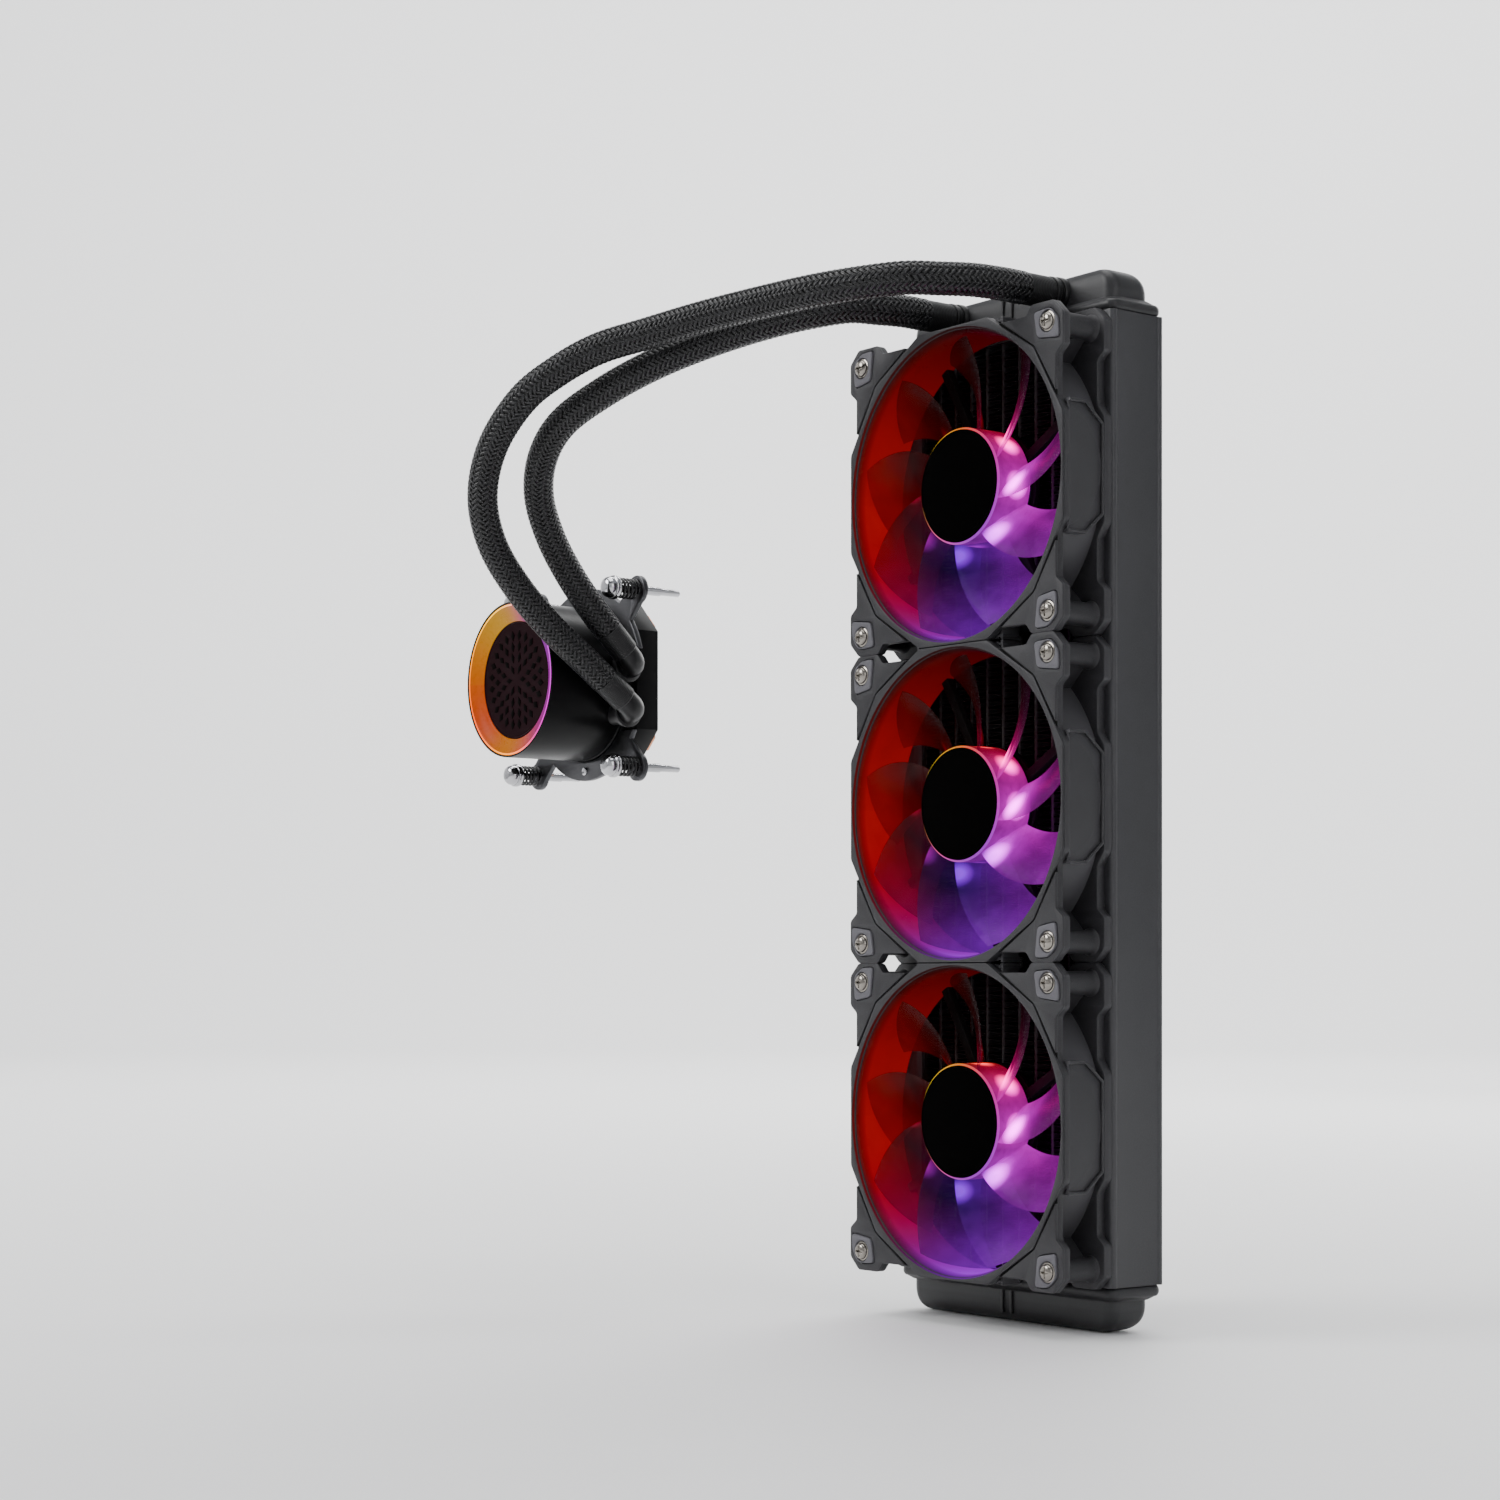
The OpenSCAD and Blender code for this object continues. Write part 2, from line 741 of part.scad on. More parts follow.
module pump_light_ring() {
    rim = pump_r - 0.9;
    disc = 25.2;
    color("orange") in_pump() rotate_extrude() polygon([
        [disc, pump_h - 9.5], [rim, pump_h - 9.5], [rim, pump_h - 0.4], [rim - 0.8, pump_h - 0.2],
        [disc + 0.2, pump_h - 3.5], [disc, pump_h - 3.7]
    ]);
}

module pump_face_cap() {
    color("#0a0a0b") in_pump() translate([0, 0, pump_h - 6]) cylinder(h = 2.5, r = 25.1);
}

module mounting_bracket() {
    bracket_t = 2.5;
    ear_r = 6;
    color("#4a4a4d") in_pump() translate([0, 0, flange_top]) linear_extrude(bracket_t) difference() {
        union() {
            circle(41.5);
            at_corners(socket_pitch / 2) circle(ear_r);
            for (q = [0:3]) rotate([0, 0, 90 * q + 45]) translate([36, 0.5 - ear_r])
                square([socket_pitch / 2 * sqrt(2) - 36, 2 * ear_r - 1]);
        }
        circle(pump_r + 0.2);
        at_corners(socket_pitch / 2) circle(2.2);
        translate([pump_r - 6, SUPPLY_BEND.z - pump_z - 7.5]) square([20, 34]);
    }
}

screw_head_z = 27;
stud_tip = 6;

module bracket_screws() {
    color("#c9c9cc") in_pump() at_corners(socket_pitch / 2) {
        translate([0, 0, -stud_tip]) cylinder(h = stud_tip + 4, r = 1.5);
        translate([0, 0, 3]) cylinder(h = screw_head_z - 3, r = 1.9);
        translate([0, 0, screw_head_z]) cylinder(h = 2, r = 5);
        intersection() {
            translate([0, 0, screw_head_z + 1.5]) sphere(r = 4.4);
            translate([-5, -5, screw_head_z + 1.5]) cube([10, 10, 6]);
        }
    }
}

module bracket_springs() {
    turns = 5;
    per_turn = 10;
    wire_r = 0.5;
    coil_r = 3.9;
    low = flange_top + 2.5 + wire_r;
    high = screw_head_z - wire_r;
    steps = turns * per_turn;
    coil = [for (i = [0:steps]) [
        coil_r * cos(360 * i / per_turn),
        coil_r * sin(360 * i / per_turn),
        low + (high - low) * i / steps]];
    color("#1b1b1c") in_pump() at_corners(socket_pitch / 2) swept_tube(coil, wire_r, 6);
}

fin_pack();
core_tubes();
header_plates();
inlet_tank();
return_tank();
tank_divider();
side_channel_left();
side_channel_right();
tank_ports();
port_ferrules();
fill_plug();
fill_plug_seal();
one_fan_part(0, "frame");  // top_fan_frame
one_fan_part(0, "trim");  // top_fan_trim
one_fan_part(0, "rotor");  // top_fan_rotor
one_fan_part(0, "cap");  // top_fan_cap
one_fan_part(0, "magnet");  // top_fan_magnet
one_fan_part(0, "shaft");  // top_fan_shaft
one_fan_part(0, "bearing");  // top_fan_bearing
one_fan_part(0, "stator");  // top_fan_stator
one_fan_part(0, "board");  // top_fan_board
one_fan_part(1, "frame");  // middle_fan_frame
one_fan_part(1, "trim");  // middle_fan_trim
one_fan_part(1, "rotor");  // middle_fan_rotor
one_fan_part(1, "cap");  // middle_fan_cap
one_fan_part(1, "magnet");  // middle_fan_magnet
one_fan_part(1, "shaft");  // middle_fan_shaft
one_fan_part(1, "bearing");  // middle_fan_bearing
one_fan_part(1, "stator");  // middle_fan_stator
one_fan_part(1, "board");  // middle_fan_board
one_fan_part(2, "frame");  // bottom_fan_frame
one_fan_part(2, "trim");  // bottom_fan_trim
one_fan_part(2, "rotor");  // bottom_fan_rotor
one_fan_part(2, "cap");  // bottom_fan_cap
one_fan_part(2, "magnet");  // bottom_fan_magnet
one_fan_part(2, "shaft");  // bottom_fan_shaft
one_fan_part(2, "bearing");  // bottom_fan_bearing
one_fan_part(2, "stator");  // bottom_fan_stator
one_fan_part(2, "board");  // bottom_fan_board
corner_pads();
fan_screws();
supply_hose();
return_hose();
hose_cuffs();
supply_elbow();
return_elbow();
cold_plate();
cold_plate_seal();
pump_base();
pump_can();
impeller();
impeller_pin();
pump_stator();
pump_board();
pump_cover();
pump_light_ring();
pump_face_cap();
mounting_bracket();
bracket_screws();
bracket_springs();
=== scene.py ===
import json
import math
from contextlib import contextmanager

import bmesh
import bpy
import numpy as np
from mathutils import Matrix, Vector


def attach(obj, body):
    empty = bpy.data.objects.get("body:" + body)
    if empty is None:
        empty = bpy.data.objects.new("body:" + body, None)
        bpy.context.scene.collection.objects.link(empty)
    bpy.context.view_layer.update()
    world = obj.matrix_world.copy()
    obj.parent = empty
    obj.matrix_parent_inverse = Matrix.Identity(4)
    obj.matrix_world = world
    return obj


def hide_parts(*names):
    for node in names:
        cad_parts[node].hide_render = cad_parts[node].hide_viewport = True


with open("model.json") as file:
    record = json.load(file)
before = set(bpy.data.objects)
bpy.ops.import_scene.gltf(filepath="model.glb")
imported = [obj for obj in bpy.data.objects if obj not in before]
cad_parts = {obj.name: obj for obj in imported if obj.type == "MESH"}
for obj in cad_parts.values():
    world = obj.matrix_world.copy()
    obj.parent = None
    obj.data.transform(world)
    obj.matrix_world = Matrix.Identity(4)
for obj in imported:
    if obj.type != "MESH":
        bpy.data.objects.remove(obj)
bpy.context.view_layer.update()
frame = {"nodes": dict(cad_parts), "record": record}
MM = 0.001
# The fans and the heights of their middles, in mm
FANS = {"top": 120, "middle": 0, "bottom": -120}
ROOT = "radiator"
STILL = Matrix.Identity(4)

def new_object(name, data):
    obj = bpy.data.objects.new(name, data)
    bpy.context.scene.collection.objects.link(obj)
    return obj

# ---- camera

# The eye is level, to the right of the fans and in front of them
EYE = (0.8222, -0.7814, -0.065)
AZIMUTH = 52.39
LENS = 69.84
SHIFT_Y = 0.1507

camera = new_object("camera", bpy.data.cameras.new("camera"))
camera.location = EYE
camera.rotation_euler = (math.pi / 2, 0, math.radians(AZIMUTH))
camera.data.lens = LENS
camera.data.sensor_width = 36
camera.data.shift_y = SHIFT_Y
camera.data.clip_start = 0.01
bpy.context.scene.camera = camera

# ---- mesh helpers

@contextmanager
def editing(mesh):
    """The mesh's faces and edges to edit, written back at the end."""
    bm = bmesh.new()
    bm.from_mesh(mesh)
    yield bm
    bm.to_mesh(mesh)
    bm.free()


def baked(data, *modifiers):
    """The mesh of a curve or mesh with its modifiers applied. Each modifier is (type, settings)."""
    holder = new_object("holder", data)
    for kind, settings in modifiers:
        modifier = holder.modifiers.new(kind, kind)
        for name, value in settings.items():
            setattr(modifier, name, value)
    bpy.context.view_layer.update()
    mesh = bpy.data.meshes.new_from_object(holder.evaluated_get(bpy.context.evaluated_depsgraph_get()))
    bpy.data.objects.remove(holder)
    return mesh


def mark_smooth(bm, angle):
    """Smooth faces, with sharp edges where two faces meet at more than angle degrees."""
    limit = math.radians(angle)
    for face in bm.faces:
        face.smooth = True
    for edge in bm.edges:
        edge.smooth = len(edge.link_faces) == 2 and edge.calc_face_angle(0) < limit


def mesh_from(verts_mm, faces, angle=35, slots=None):
    """A mesh from points in mm and faces, with an optional material number for each face."""
    mesh = bpy.data.meshes.new("part")
    mesh.from_pydata([tuple(c * MM for c in v) for v in verts_mm], [], faces)
    if slots is not None:
        mesh.polygons.foreach_set("material_index", slots)
    with editing(mesh) as bm:
        bmesh.ops.recalc_face_normals(bm, faces=bm.faces)
        mark_smooth(bm, angle)
    return mesh


def add_piece(name, mesh, body, materials, slot, *nodes):
    """A visible piece: it rides on body, takes the given materials and stands for the CAD nodes. slot is not
    used.
    """
    obj = new_object(name, mesh)
    if not mesh.materials:
        for material in materials:
            mesh.materials.append(material)
    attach(obj, body)
    if nodes:
        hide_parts(*nodes)
    return obj


def add_fixed(name, mesh, slot, *nodes):
    """A visible piece of the still body, in the slot's own material."""
    return add_piece(name, mesh, ROOT, (MATERIALS[slot],), slot, *nodes)


def joined(parts):
    """One mesh from (mesh, matrix, material number) triples."""
    bm = bmesh.new()
    for mesh, matrix, number in parts:
        first_vert, first_face = len(bm.verts), len(bm.faces)
        bm.from_mesh(mesh)
        bm.verts.ensure_lookup_table()
        bm.faces.ensure_lookup_table()
        bmesh.ops.transform(bm, matrix=matrix, verts=bm.verts[first_vert:])
        if number is not None:
            for face in bm.faces[first_face:]:
                face.material_index = number
    out = bpy.data.meshes.new("joined")
    bm.to_mesh(out)
    bm.free()
    return out


def placed(mesh, matrix):
    mesh = mesh.copy()
    mesh.transform(matrix)
    return mesh


def arc(radius, start, end, steps, centre=(0, 0)):
    """Points on a circle, angles in degrees."""
    angles = np.radians(np.linspace(start, end, steps))
    return [(centre[0] + radius * math.cos(a), centre[1] + radius * math.sin(a)) for a in angles]


def circle(radius, steps, centre=(0, 0)):
    return arc(radius, 0, 360 * (steps - 1) / steps, steps, centre)


def plate(loops, z0, z1, bevel, angle=30):
    """A flat plate in mm between z0 and z1. The first loop is the outline, the others are holes."""
    curve = bpy.data.curves.new("plate", "CURVE")
    curve.dimensions = "2D"
    curve.fill_mode = "BOTH"
    curve.extrude = ((z1 - z0) / 2 - bevel) * MM
    curve.bevel_depth = bevel * MM
    curve.offset = -bevel * MM
    curve.bevel_resolution = 1
    for loop in loops:
        spline = curve.splines.new("POLY")
        spline.points.add(len(loop) - 1)
        for point, (x, y) in zip(spline.points, loop):
            point.co = (x * MM, y * MM, 0, 1)
        spline.use_cyclic_u = True
    mesh = baked(curve)
    bpy.data.curves.remove(curve)
    with editing(mesh) as bm:
        bmesh.ops.remove_doubles(bm, verts=bm.verts, dist=1e-6)
        bmesh.ops.recalc_face_normals(bm, faces=bm.faces)
        bmesh.ops.translate(bm, verts=bm.verts, vec=(0, 0, (z0 + z1) / 2 * MM))
        mark_smooth(bm, angle)
    return mesh


def wall_faces(rings, count, base=0):
    """The faces between rings of count points each, whose first point has the number base."""
    starts = range(base, base + (rings - 1) * count, count)
    pairs = [(j, (j + 1) % count) for j in range(count)]
    return [(k + j, k + n, k + count + n, k + count + j) for k in starts for j, n in pairs]


def end_faces(first, last, count):
    """The faces on the first and last ring, whose points start at the numbers first and last."""
    return [tuple(range(first + count - 1, first - 1, -1)), tuple(range(last, last + count))]


def lathe(profile, segments=96, angle=30, slots=None):
    """A closed ring or disc, from a closed profile of (radius, height) in mm, turned about Z."""
    verts, faces, numbers = [], [], []
    count = len(profile)
    for k in range(segments):
        a = 2 * math.pi * k / segments
        verts += [(r * math.cos(a), r * math.sin(a), h) for r, h in profile]
    for k in range(segments):
        here, there = k * count, ((k + 1) % segments) * count
        for i in range(count):
            j = (i + 1) % count
            faces.append((here + i, there + i, there + j, here + j))
            numbers.append(0 if slots is None else slots[i])
    mesh = mesh_from(verts, faces, 180, numbers)
    with editing(mesh) as bm:
        bmesh.ops.remove_doubles(bm, verts=bm.verts, dist=1e-7)
        bmesh.ops.dissolve_degenerate(bm, edges=bm.edges, dist=1e-7)
        bmesh.ops.recalc_face_normals(bm, faces=bm.faces)
        mark_smooth(bm, angle)
    return mesh


def rounded_profile(corners, radius, steps=3):
    """The closed profile with each corner rounded by radius, in mm."""
    out = []
    count = len(corners)
    for i in range(count):
        before = np.array(corners[i - 1], float)
        here = np.array(corners[i], float)
        after = np.array(corners[(i + 1) % count], float)
        a, b = before - here, after - here
        reach = min(radius, 0.45 * np.linalg.norm(a), 0.45 * np.linalg.norm(b))
        start = here + a / np.linalg.norm(a) * reach
        end = here + b / np.linalg.norm(b) * reach
        for t in np.linspace(0, 1, steps + 1):
            out.append(tuple((1 - t) ** 2 * start + 2 * t * (1 - t) * here + t ** 2 * end))
    return out


def softened(node, width):
    """A copy of a CAD node's mesh, with its sharp edges rounded by width in mm."""
    mesh = frame["nodes"][node].data.copy()
    with editing(mesh) as bm:
        bmesh.ops.remove_doubles(bm, verts=bm.verts, dist=2e-6)
        bmesh.ops.dissolve_limit(bm, angle_limit=math.radians(0.6), verts=bm.verts, edges=bm.edges)
    out = baked(mesh, ("BEVEL", {"width": width * MM, "segments": 2, "limit_method": "ANGLE",
                                 "angle_limit": math.radians(32), "use_clamp_overlap": True}))
    with editing(out) as bm:
        mark_smooth(bm, 40)
    out.materials.clear()
    return out


def between(t, t0, a, t1, b):
    """The point at t on the line from a, at t0, to b, at t1."""
    return (t1 - t) / (t1 - t0) * a + (t - t0) / (t1 - t0) * b


def smooth_line(points, spacing):
    """Evenly spaced points on a smooth curve through points (a centripetal Catmull-Rom curve)."""
    p = np.array(points, float)
    p = np.vstack([2 * p[0] - p[1], p, 2 * p[-1] - p[-2]])
    fine = []
    for i in range(1, len(p) - 2):
        knots = [0.0]
        for k in range(3):
            knots.append(knots[-1] + np.linalg.norm(p[i + k] - p[i + k - 1]) ** 0.5)
        t0, t1, t2, t3 = knots
        for t in np.linspace(t1, t2, 24, endpoint=False):
            a1 = between(t, t0, p[i - 1], t1, p[i])
            a2 = between(t, t1, p[i], t2, p[i + 1])
            a3 = between(t, t2, p[i + 1], t3, p[i + 2])
            b1, b2 = between(t, t0, a1, t2, a2), between(t, t1, a2, t3, a3)
            fine.append(between(t, t1, b1, t2, b2))
    fine = np.array(fine + [p[-2]])
    reach = np.r_[0, np.cumsum(np.linalg.norm(np.diff(fine, axis=0), axis=1))]
    marks = np.linspace(0, reach[-1], max(2, int(round(reach[-1] / spacing))) + 1)
    line = np.stack([np.interp(marks, reach, fine[:, k]) for k in range(3)], 1)
    return line, marks


def side_vectors(line):
    """Two unit vectors square to the line at each point, turning as little as they can."""
    tangent = np.gradient(line, axis=0)
    tangent /= np.linalg.norm(tangent, axis=1)[:, None]
    side = np.zeros_like(tangent)
    first = np.cross(tangent[0], (0.3, 0.2, 1.0))
    side[0] = first / np.linalg.norm(first)
    for i in range(1, len(line)):
        s = side[i - 1] - tangent[i] * np.dot(side[i - 1], tangent[i])
        side[i] = s / np.linalg.norm(s)
    return side, np.cross(tangent, side)


def sweep(line, radii, sides=24, angle=40):
    """A closed tube of varying radius along a line, all in mm."""
    line = np.array(line, float)
    side, up = side_vectors(line)
    verts = []
    for i, r in enumerate(radii):
        for k in range(sides):
            a = 2 * math.pi * k / sides
            verts.append(tuple(line[i] + r * (side[i] * math.cos(a) + up[i] * math.sin(a))))
    faces = wall_faces(len(radii), sides) + end_faces(0, len(verts) - sides, sides)
    return mesh_from(verts, faces, angle)


def pointing(origin_mm, direction):
    """The matrix that puts Z along direction at a point given in mm."""
    turn = Vector((0, 0, 1)).rotation_difference(Vector(direction).normalized())
    return Matrix.Translation(Vector(origin_mm) * MM) @ turn.to_matrix().to_4x4()


def facing(x, y, z):
    """The matrix for a piece drawn face up, so that its Z points to -Y and its Y points up."""
    return Matrix.Translation(Vector((x, y, z)) * MM) @ Matrix.Rotation(math.pi / 2, 4, "X")

# ---- node helpers

class Shader:
    """A material being built, with short calls for the nodes that it uses."""

    def __init__(self, name, **sockets):
        self.material = bpy.data.materials.new(name)
        self.material.use_nodes = True
        self.nodes = self.material.node_tree.nodes
        self.links = self.material.node_tree.links
        self.shader = self.nodes["Principled BSDF"]
        for socket, value in sockets.items():
            self.shader.inputs[socket.replace("_", " ")].default_value = value
        self.place = self.nodes.new("ShaderNodeTexCoord").outputs["Object"]

    def put(self, value, socket):
        if hasattr(value, "links"):
            self.links.new(value, socket)
        else:
            socket.default_value = value

    def math(self, operation, a, b=0.0, c=0.0):
        node = self.nodes.new("ShaderNodeMath")
        node.operation = operation
        for socket, value in zip(node.inputs, (a, b, c)):
            self.put(value, socket)
        return node.outputs[0]

    def times(self, a, b):
        return self.math("MULTIPLY", a, b)

    def plus(self, a, b):
        return self.math("ADD", a, b)

    def length(self, x, y):
        return self.math("SQRT", self.plus(self.times(x, x), self.times(y, y)))

    def noise(self, scale, detail=3.0, roughness=0.55, stretch=None):
        node = self.nodes.new("ShaderNodeTexNoise")
        node.inputs["Scale"].default_value = scale
        node.inputs["Detail"].default_value = detail
        node.inputs["Roughness"].default_value = roughness
        source = self.place
        if stretch:
            mapping = self.nodes.new("ShaderNodeMapping")
            mapping.inputs["Scale"].default_value = stretch
            self.links.new(source, mapping.inputs["Vector"])
            source = mapping.outputs[0]
        self.links.new(source, node.inputs["Vector"])
        return node.outputs["Fac"]

    def span(self, value, low, high, out_low=0.0, out_high=1.0):
        node = self.nodes.new("ShaderNodeMapRange")
        node.clamp = True
        for socket, v in zip(node.inputs, (value, low, high, out_low, out_high)):
            self.put(v, socket)
        return node.outputs[0]

    def vary(self, noise, low=0.0, high=1.0):
        """Noise, most of which is between 0.3 and 0.7, spread from low to high."""
        return self.span(noise, 0.3, 0.7, low, high)

    def mix(self, factor, a, b):
        node = self.nodes.new("ShaderNodeMix")
        node.data_type = "RGBA"
        self.put(factor, node.inputs[0])
        self.put(a, node.inputs[6])
        self.put(b, node.inputs[7])
        return node.outputs[2]

    def colour_math(self, operation, a, b):
        node = self.nodes.new("ShaderNodeVectorMath")
        node.operation = operation
        self.put(a, node.inputs[0])
        self.put(b, node.inputs["Scale" if operation == "SCALE" else 1])
        return node.outputs[0]

    def dim(self, colour, factor):
        return self.colour_math("SCALE", colour, factor)

    def ramp(self, value, stops, interpolation="LINEAR"):
        node = self.nodes.new("ShaderNodeValToRGB")
        node.color_ramp.interpolation = interpolation
        elements = node.color_ramp.elements
        while len(elements) < len(stops):
            elements.new(0.5)
        for element, (at, _) in zip(elements, stops):
            element.position = at
        for element, (_, colour) in zip(elements, stops):
            element.color = (*colour, 1)
        self.put(value, node.inputs[0])
        return node.outputs[0]

    def bump(self, height, distance_mm, strength):
        node = self.nodes.new("ShaderNodeBump")
        node.inputs["Distance"].default_value = distance_mm * MM
        node.inputs["Strength"].default_value = strength
        self.put(height, node.inputs["Height"])
        return node.outputs[0]

    def edge(self):
        """From 0 on flats to 1 on sharp outer edges."""
        return self.span(self.nodes.new("ShaderNodeNewGeometry").outputs["Pointiness"], 0.52, 0.62)

    def to(self, value, socket):
        self.put(value, self.shader.inputs[socket])

    def around(self, centre):
        """The direction from centre in the X and Z plane, from 0 at -X past -Z, +X and +Z to 1. With it the
        distance from centre's axis and the depth along Y, in mm. Every 120 mm of Z is a new fan."""
        coordinates = self.nodes.new("ShaderNodeTexCoord")
        coordinates.object = centre
        split = self.nodes.new("ShaderNodeSeparateXYZ")
        self.links.new(coordinates.outputs["Object"], split.inputs[0])
        x, y, z = split.outputs
        if centre.name.startswith("fan"):
            z = self.math("WRAP", z, 0.06, -0.06)
        turn = self.math("ARCTAN2", z, x)
        angle = self.span(turn, -math.pi, math.pi)
        radius = self.length(x, z)
        return angle, self.times(radius, 1000), self.times(y, 1000)


def grey(v):
    return (v, v, v, 1)


def moulded(name, colour, rough, grain, bump_mm, speckle, edge_lightening, specular):
    """Moulded plastic or coated metal: fine speckle, faint large blotches, lighter sharp edges."""
    def shade(factor, added=0.0):
        return (*(min(1, c * factor + added) for c in colour), 1)

    s = Shader(name, Specular_IOR_Level=specular)
    fine = s.noise(grain, 4, 0.7)
    broad = s.noise(28, 3)
    flecks = s.mix(s.span(fine, 0.35, 0.68), shade(1 - speckle), shade(1 + speckle))
    blotches = s.mix(s.vary(broad, 0, 0.22), flecks, shade(1.5))
    s.to(s.mix(s.times(s.edge(), edge_lightening), blotches, shade(2.2, 0.015)), "Base Color")
    s.to(s.vary(s.plus(s.times(fine, 0.4), s.times(broad, 0.6)), rough - 0.07, rough + 0.08), "Roughness")
    s.to(s.bump(fine, bump_mm, 0.8), "Normal")
    return s.material


def metal(name, colour, rough, brushed, bump_mm):
    """Bare or plated metal. Its fine lines are stretched by brushed."""
    s = Shader(name, Metallic=1.0)
    lines = s.noise(900, 3, 0.6, stretch=brushed)
    broad = s.noise(60, 2)
    dull = tuple(c * 0.72 for c in colour) + (1,)
    s.to(s.mix(s.span(broad, 0.3, 0.72), (*colour, 1), dull), "Base Color")
    s.to(s.vary(lines, rough - 0.06, rough + 0.1), "Roughness")
    s.to(s.bump(lines, bump_mm, 0.7), "Normal")
    return s.material

# ---- plain materials

# Coated and moulded finishes: colour, roughness, grain, bump in mm, speckle, edge lightening and specular
# level
COATED = {
    "fin_black": ((0.007, 0.007, 0.0078), 0.42, 1800, 0.01, 0.2, 0.35, 0.3),
    "core_metal": ((0.02, 0.02, 0.021), 0.5, 1800, 0.01, 0.3, 0.25, 0.3),
    "tank_black": ((0.016, 0.016, 0.0175), 0.42, 1500, 0.012, 0.2, 0.2, 0.4),
    "channel_charcoal": ((0.028, 0.028, 0.031), 0.42, 1700, 0.01, 0.18, 0.3, 0.42),
    "fitting_black": ((0.006, 0.006, 0.0065), 0.38, 2200, 0.01, 0.2, 0.25, 0.35),
    "seal_rubber": ((0.004, 0.004, 0.004), 0.75, 2000, 0.02, 0.3, 0.25, 0.1),
    "fan_frame_grey": ((0.021, 0.0205, 0.023), 0.52, 3400, 0.03, 0.5, 0.9, 0.36),
    "magnet_grey": ((0.04, 0.04, 0.042), 0.6, 1500, 0.02, 0.3, 0.25, 0.5),
    "board_green": ((0.012, 0.07, 0.035), 0.35, 900, 0.02, 0.4, 0.25, 0.5),
    "pad_rubber": ((0.105, 0.103, 0.115), 0.68, 3800, 0.025, 0.22, 0.3, 0.35),
    "pump_black": ((0.0016, 0.0016, 0.0018), 0.34, 1200, 0.006, 0.25, 0.05, 0.13),
    "impeller_white": ((0.62, 0.61, 0.56), 0.45, 1500, 0.01, 0.06, 0.05, 0.5),
    "ceramic": ((0.82, 0.82, 0.78), 0.2, 2500, 0.002, 0.03, 0, 0.5),
    "spring_black": ((0.007, 0.007, 0.0075), 0.3, 3000, 0.01, 0.3, 0.25, 0.4),
    "cap_black": ((0.0007, 0.0006, 0.0006), 0.8, 2600, 0.01, 0.2, 0, 0.01),
    "pump_face": ((0.0012, 0.0004, 0.0006), 0.3, 1200, 0.004, 0.25, 0, 0.04),
    "face_cells": ((0.0004, 0.0003, 0.0003), 0.5, 2400, 0.006, 0.25, 0, 0.02),
    "cuff_rubber": ((0.008, 0.008, 0.0085), 0.46, 1900, 0.02, 0.3, 0.3, 0.32),
}
# Bare and plated metals: colour, roughness, stretch of the brushing and bump in mm
METALS = {
    "shaft_steel": ((0.62, 0.62, 0.63), 0.22, (1, 0.1, 1), 0.004),
    "bearing_bronze": ((0.55, 0.38, 0.18), 0.4, (1, 1, 1), 0.004),
    "copper_winding": ((0.58, 0.25, 0.1), 0.35, (1, 12, 1), 0.03),
    "copper": ((0.78, 0.36, 0.2), 0.25, (0.08, 1, 1), 0.004),
    "screw_nickel": ((0.33, 0.305, 0.27), 0.17, (1, 1, 1), 0.004),
    "bracket_steel": ((0.085, 0.085, 0.09), 0.36, (0.1, 1, 1), 0.004),
    "screw_chrome": ((0.6, 0.6, 0.62), 0.09, (1, 1, 1), 0.004),
}
MATERIALS = {name: moulded(name, *values) for name, values in COATED.items()}
MATERIALS.update({name: metal(name, *values) for name, values in METALS.items()})
faint_light = MATERIALS["pump_face"].node_tree.nodes["Principled BSDF"].inputs
faint_light["Emission Color"].default_value = (0.010, 0, 0.0020, 1)
faint_light["Emission Strength"].default_value = 1.0

# ---- hoses

# The routes are part.scad's, in metres
SUPPLY_ROUTE = [
    (0.028, -0.042, 0.1905), (0.028, -0.052, 0.1905), (0.026, -0.065, 0.1905), (0.022, -0.077, 0.190),
    (0.015, -0.088, 0.190), (0.004, -0.098, 0.189), (-0.013, -0.107, 0.188), (-0.039, -0.114, 0.187),
    (-0.066, -0.122, 0.185), (-0.087, -0.130, 0.182), (-0.107, -0.140, 0.178), (-0.123, -0.148, 0.171),
    (-0.138, -0.154, 0.162), (-0.156, -0.157, 0.145), (-0.168, -0.154, 0.127), (-0.175, -0.145, 0.110),
    (-0.178, -0.131, 0.094), (-0.179, -0.114, 0.079), (-0.178, -0.096, 0.065), (-0.178, -0.088, 0.059),
]
RETURN_ROUTE = [
    (-0.028, -0.042, 0.1905), (-0.028, -0.052, 0.1905), (-0.029, -0.063, 0.190), (-0.033, -0.074, 0.190),
    (-0.041, -0.085, 0.188), (-0.055, -0.096, 0.185), (-0.076, -0.108, 0.180), (-0.097, -0.120, 0.173),
    (-0.118, -0.130, 0.164), (-0.138, -0.136, 0.154), (-0.153, -0.135, 0.143), (-0.165, -0.129, 0.130),
    (-0.173, -0.118, 0.115), (-0.177, -0.105, 0.100), (-0.178, -0.092, 0.086), (-0.178, -0.086, 0.080),
]
HOSE_D = 12.4
STRANDS = 16
LAY_LENGTH = 36.0
STRAND_W = 1.5
STRAND_T = 0.34
WAVE = 0.24


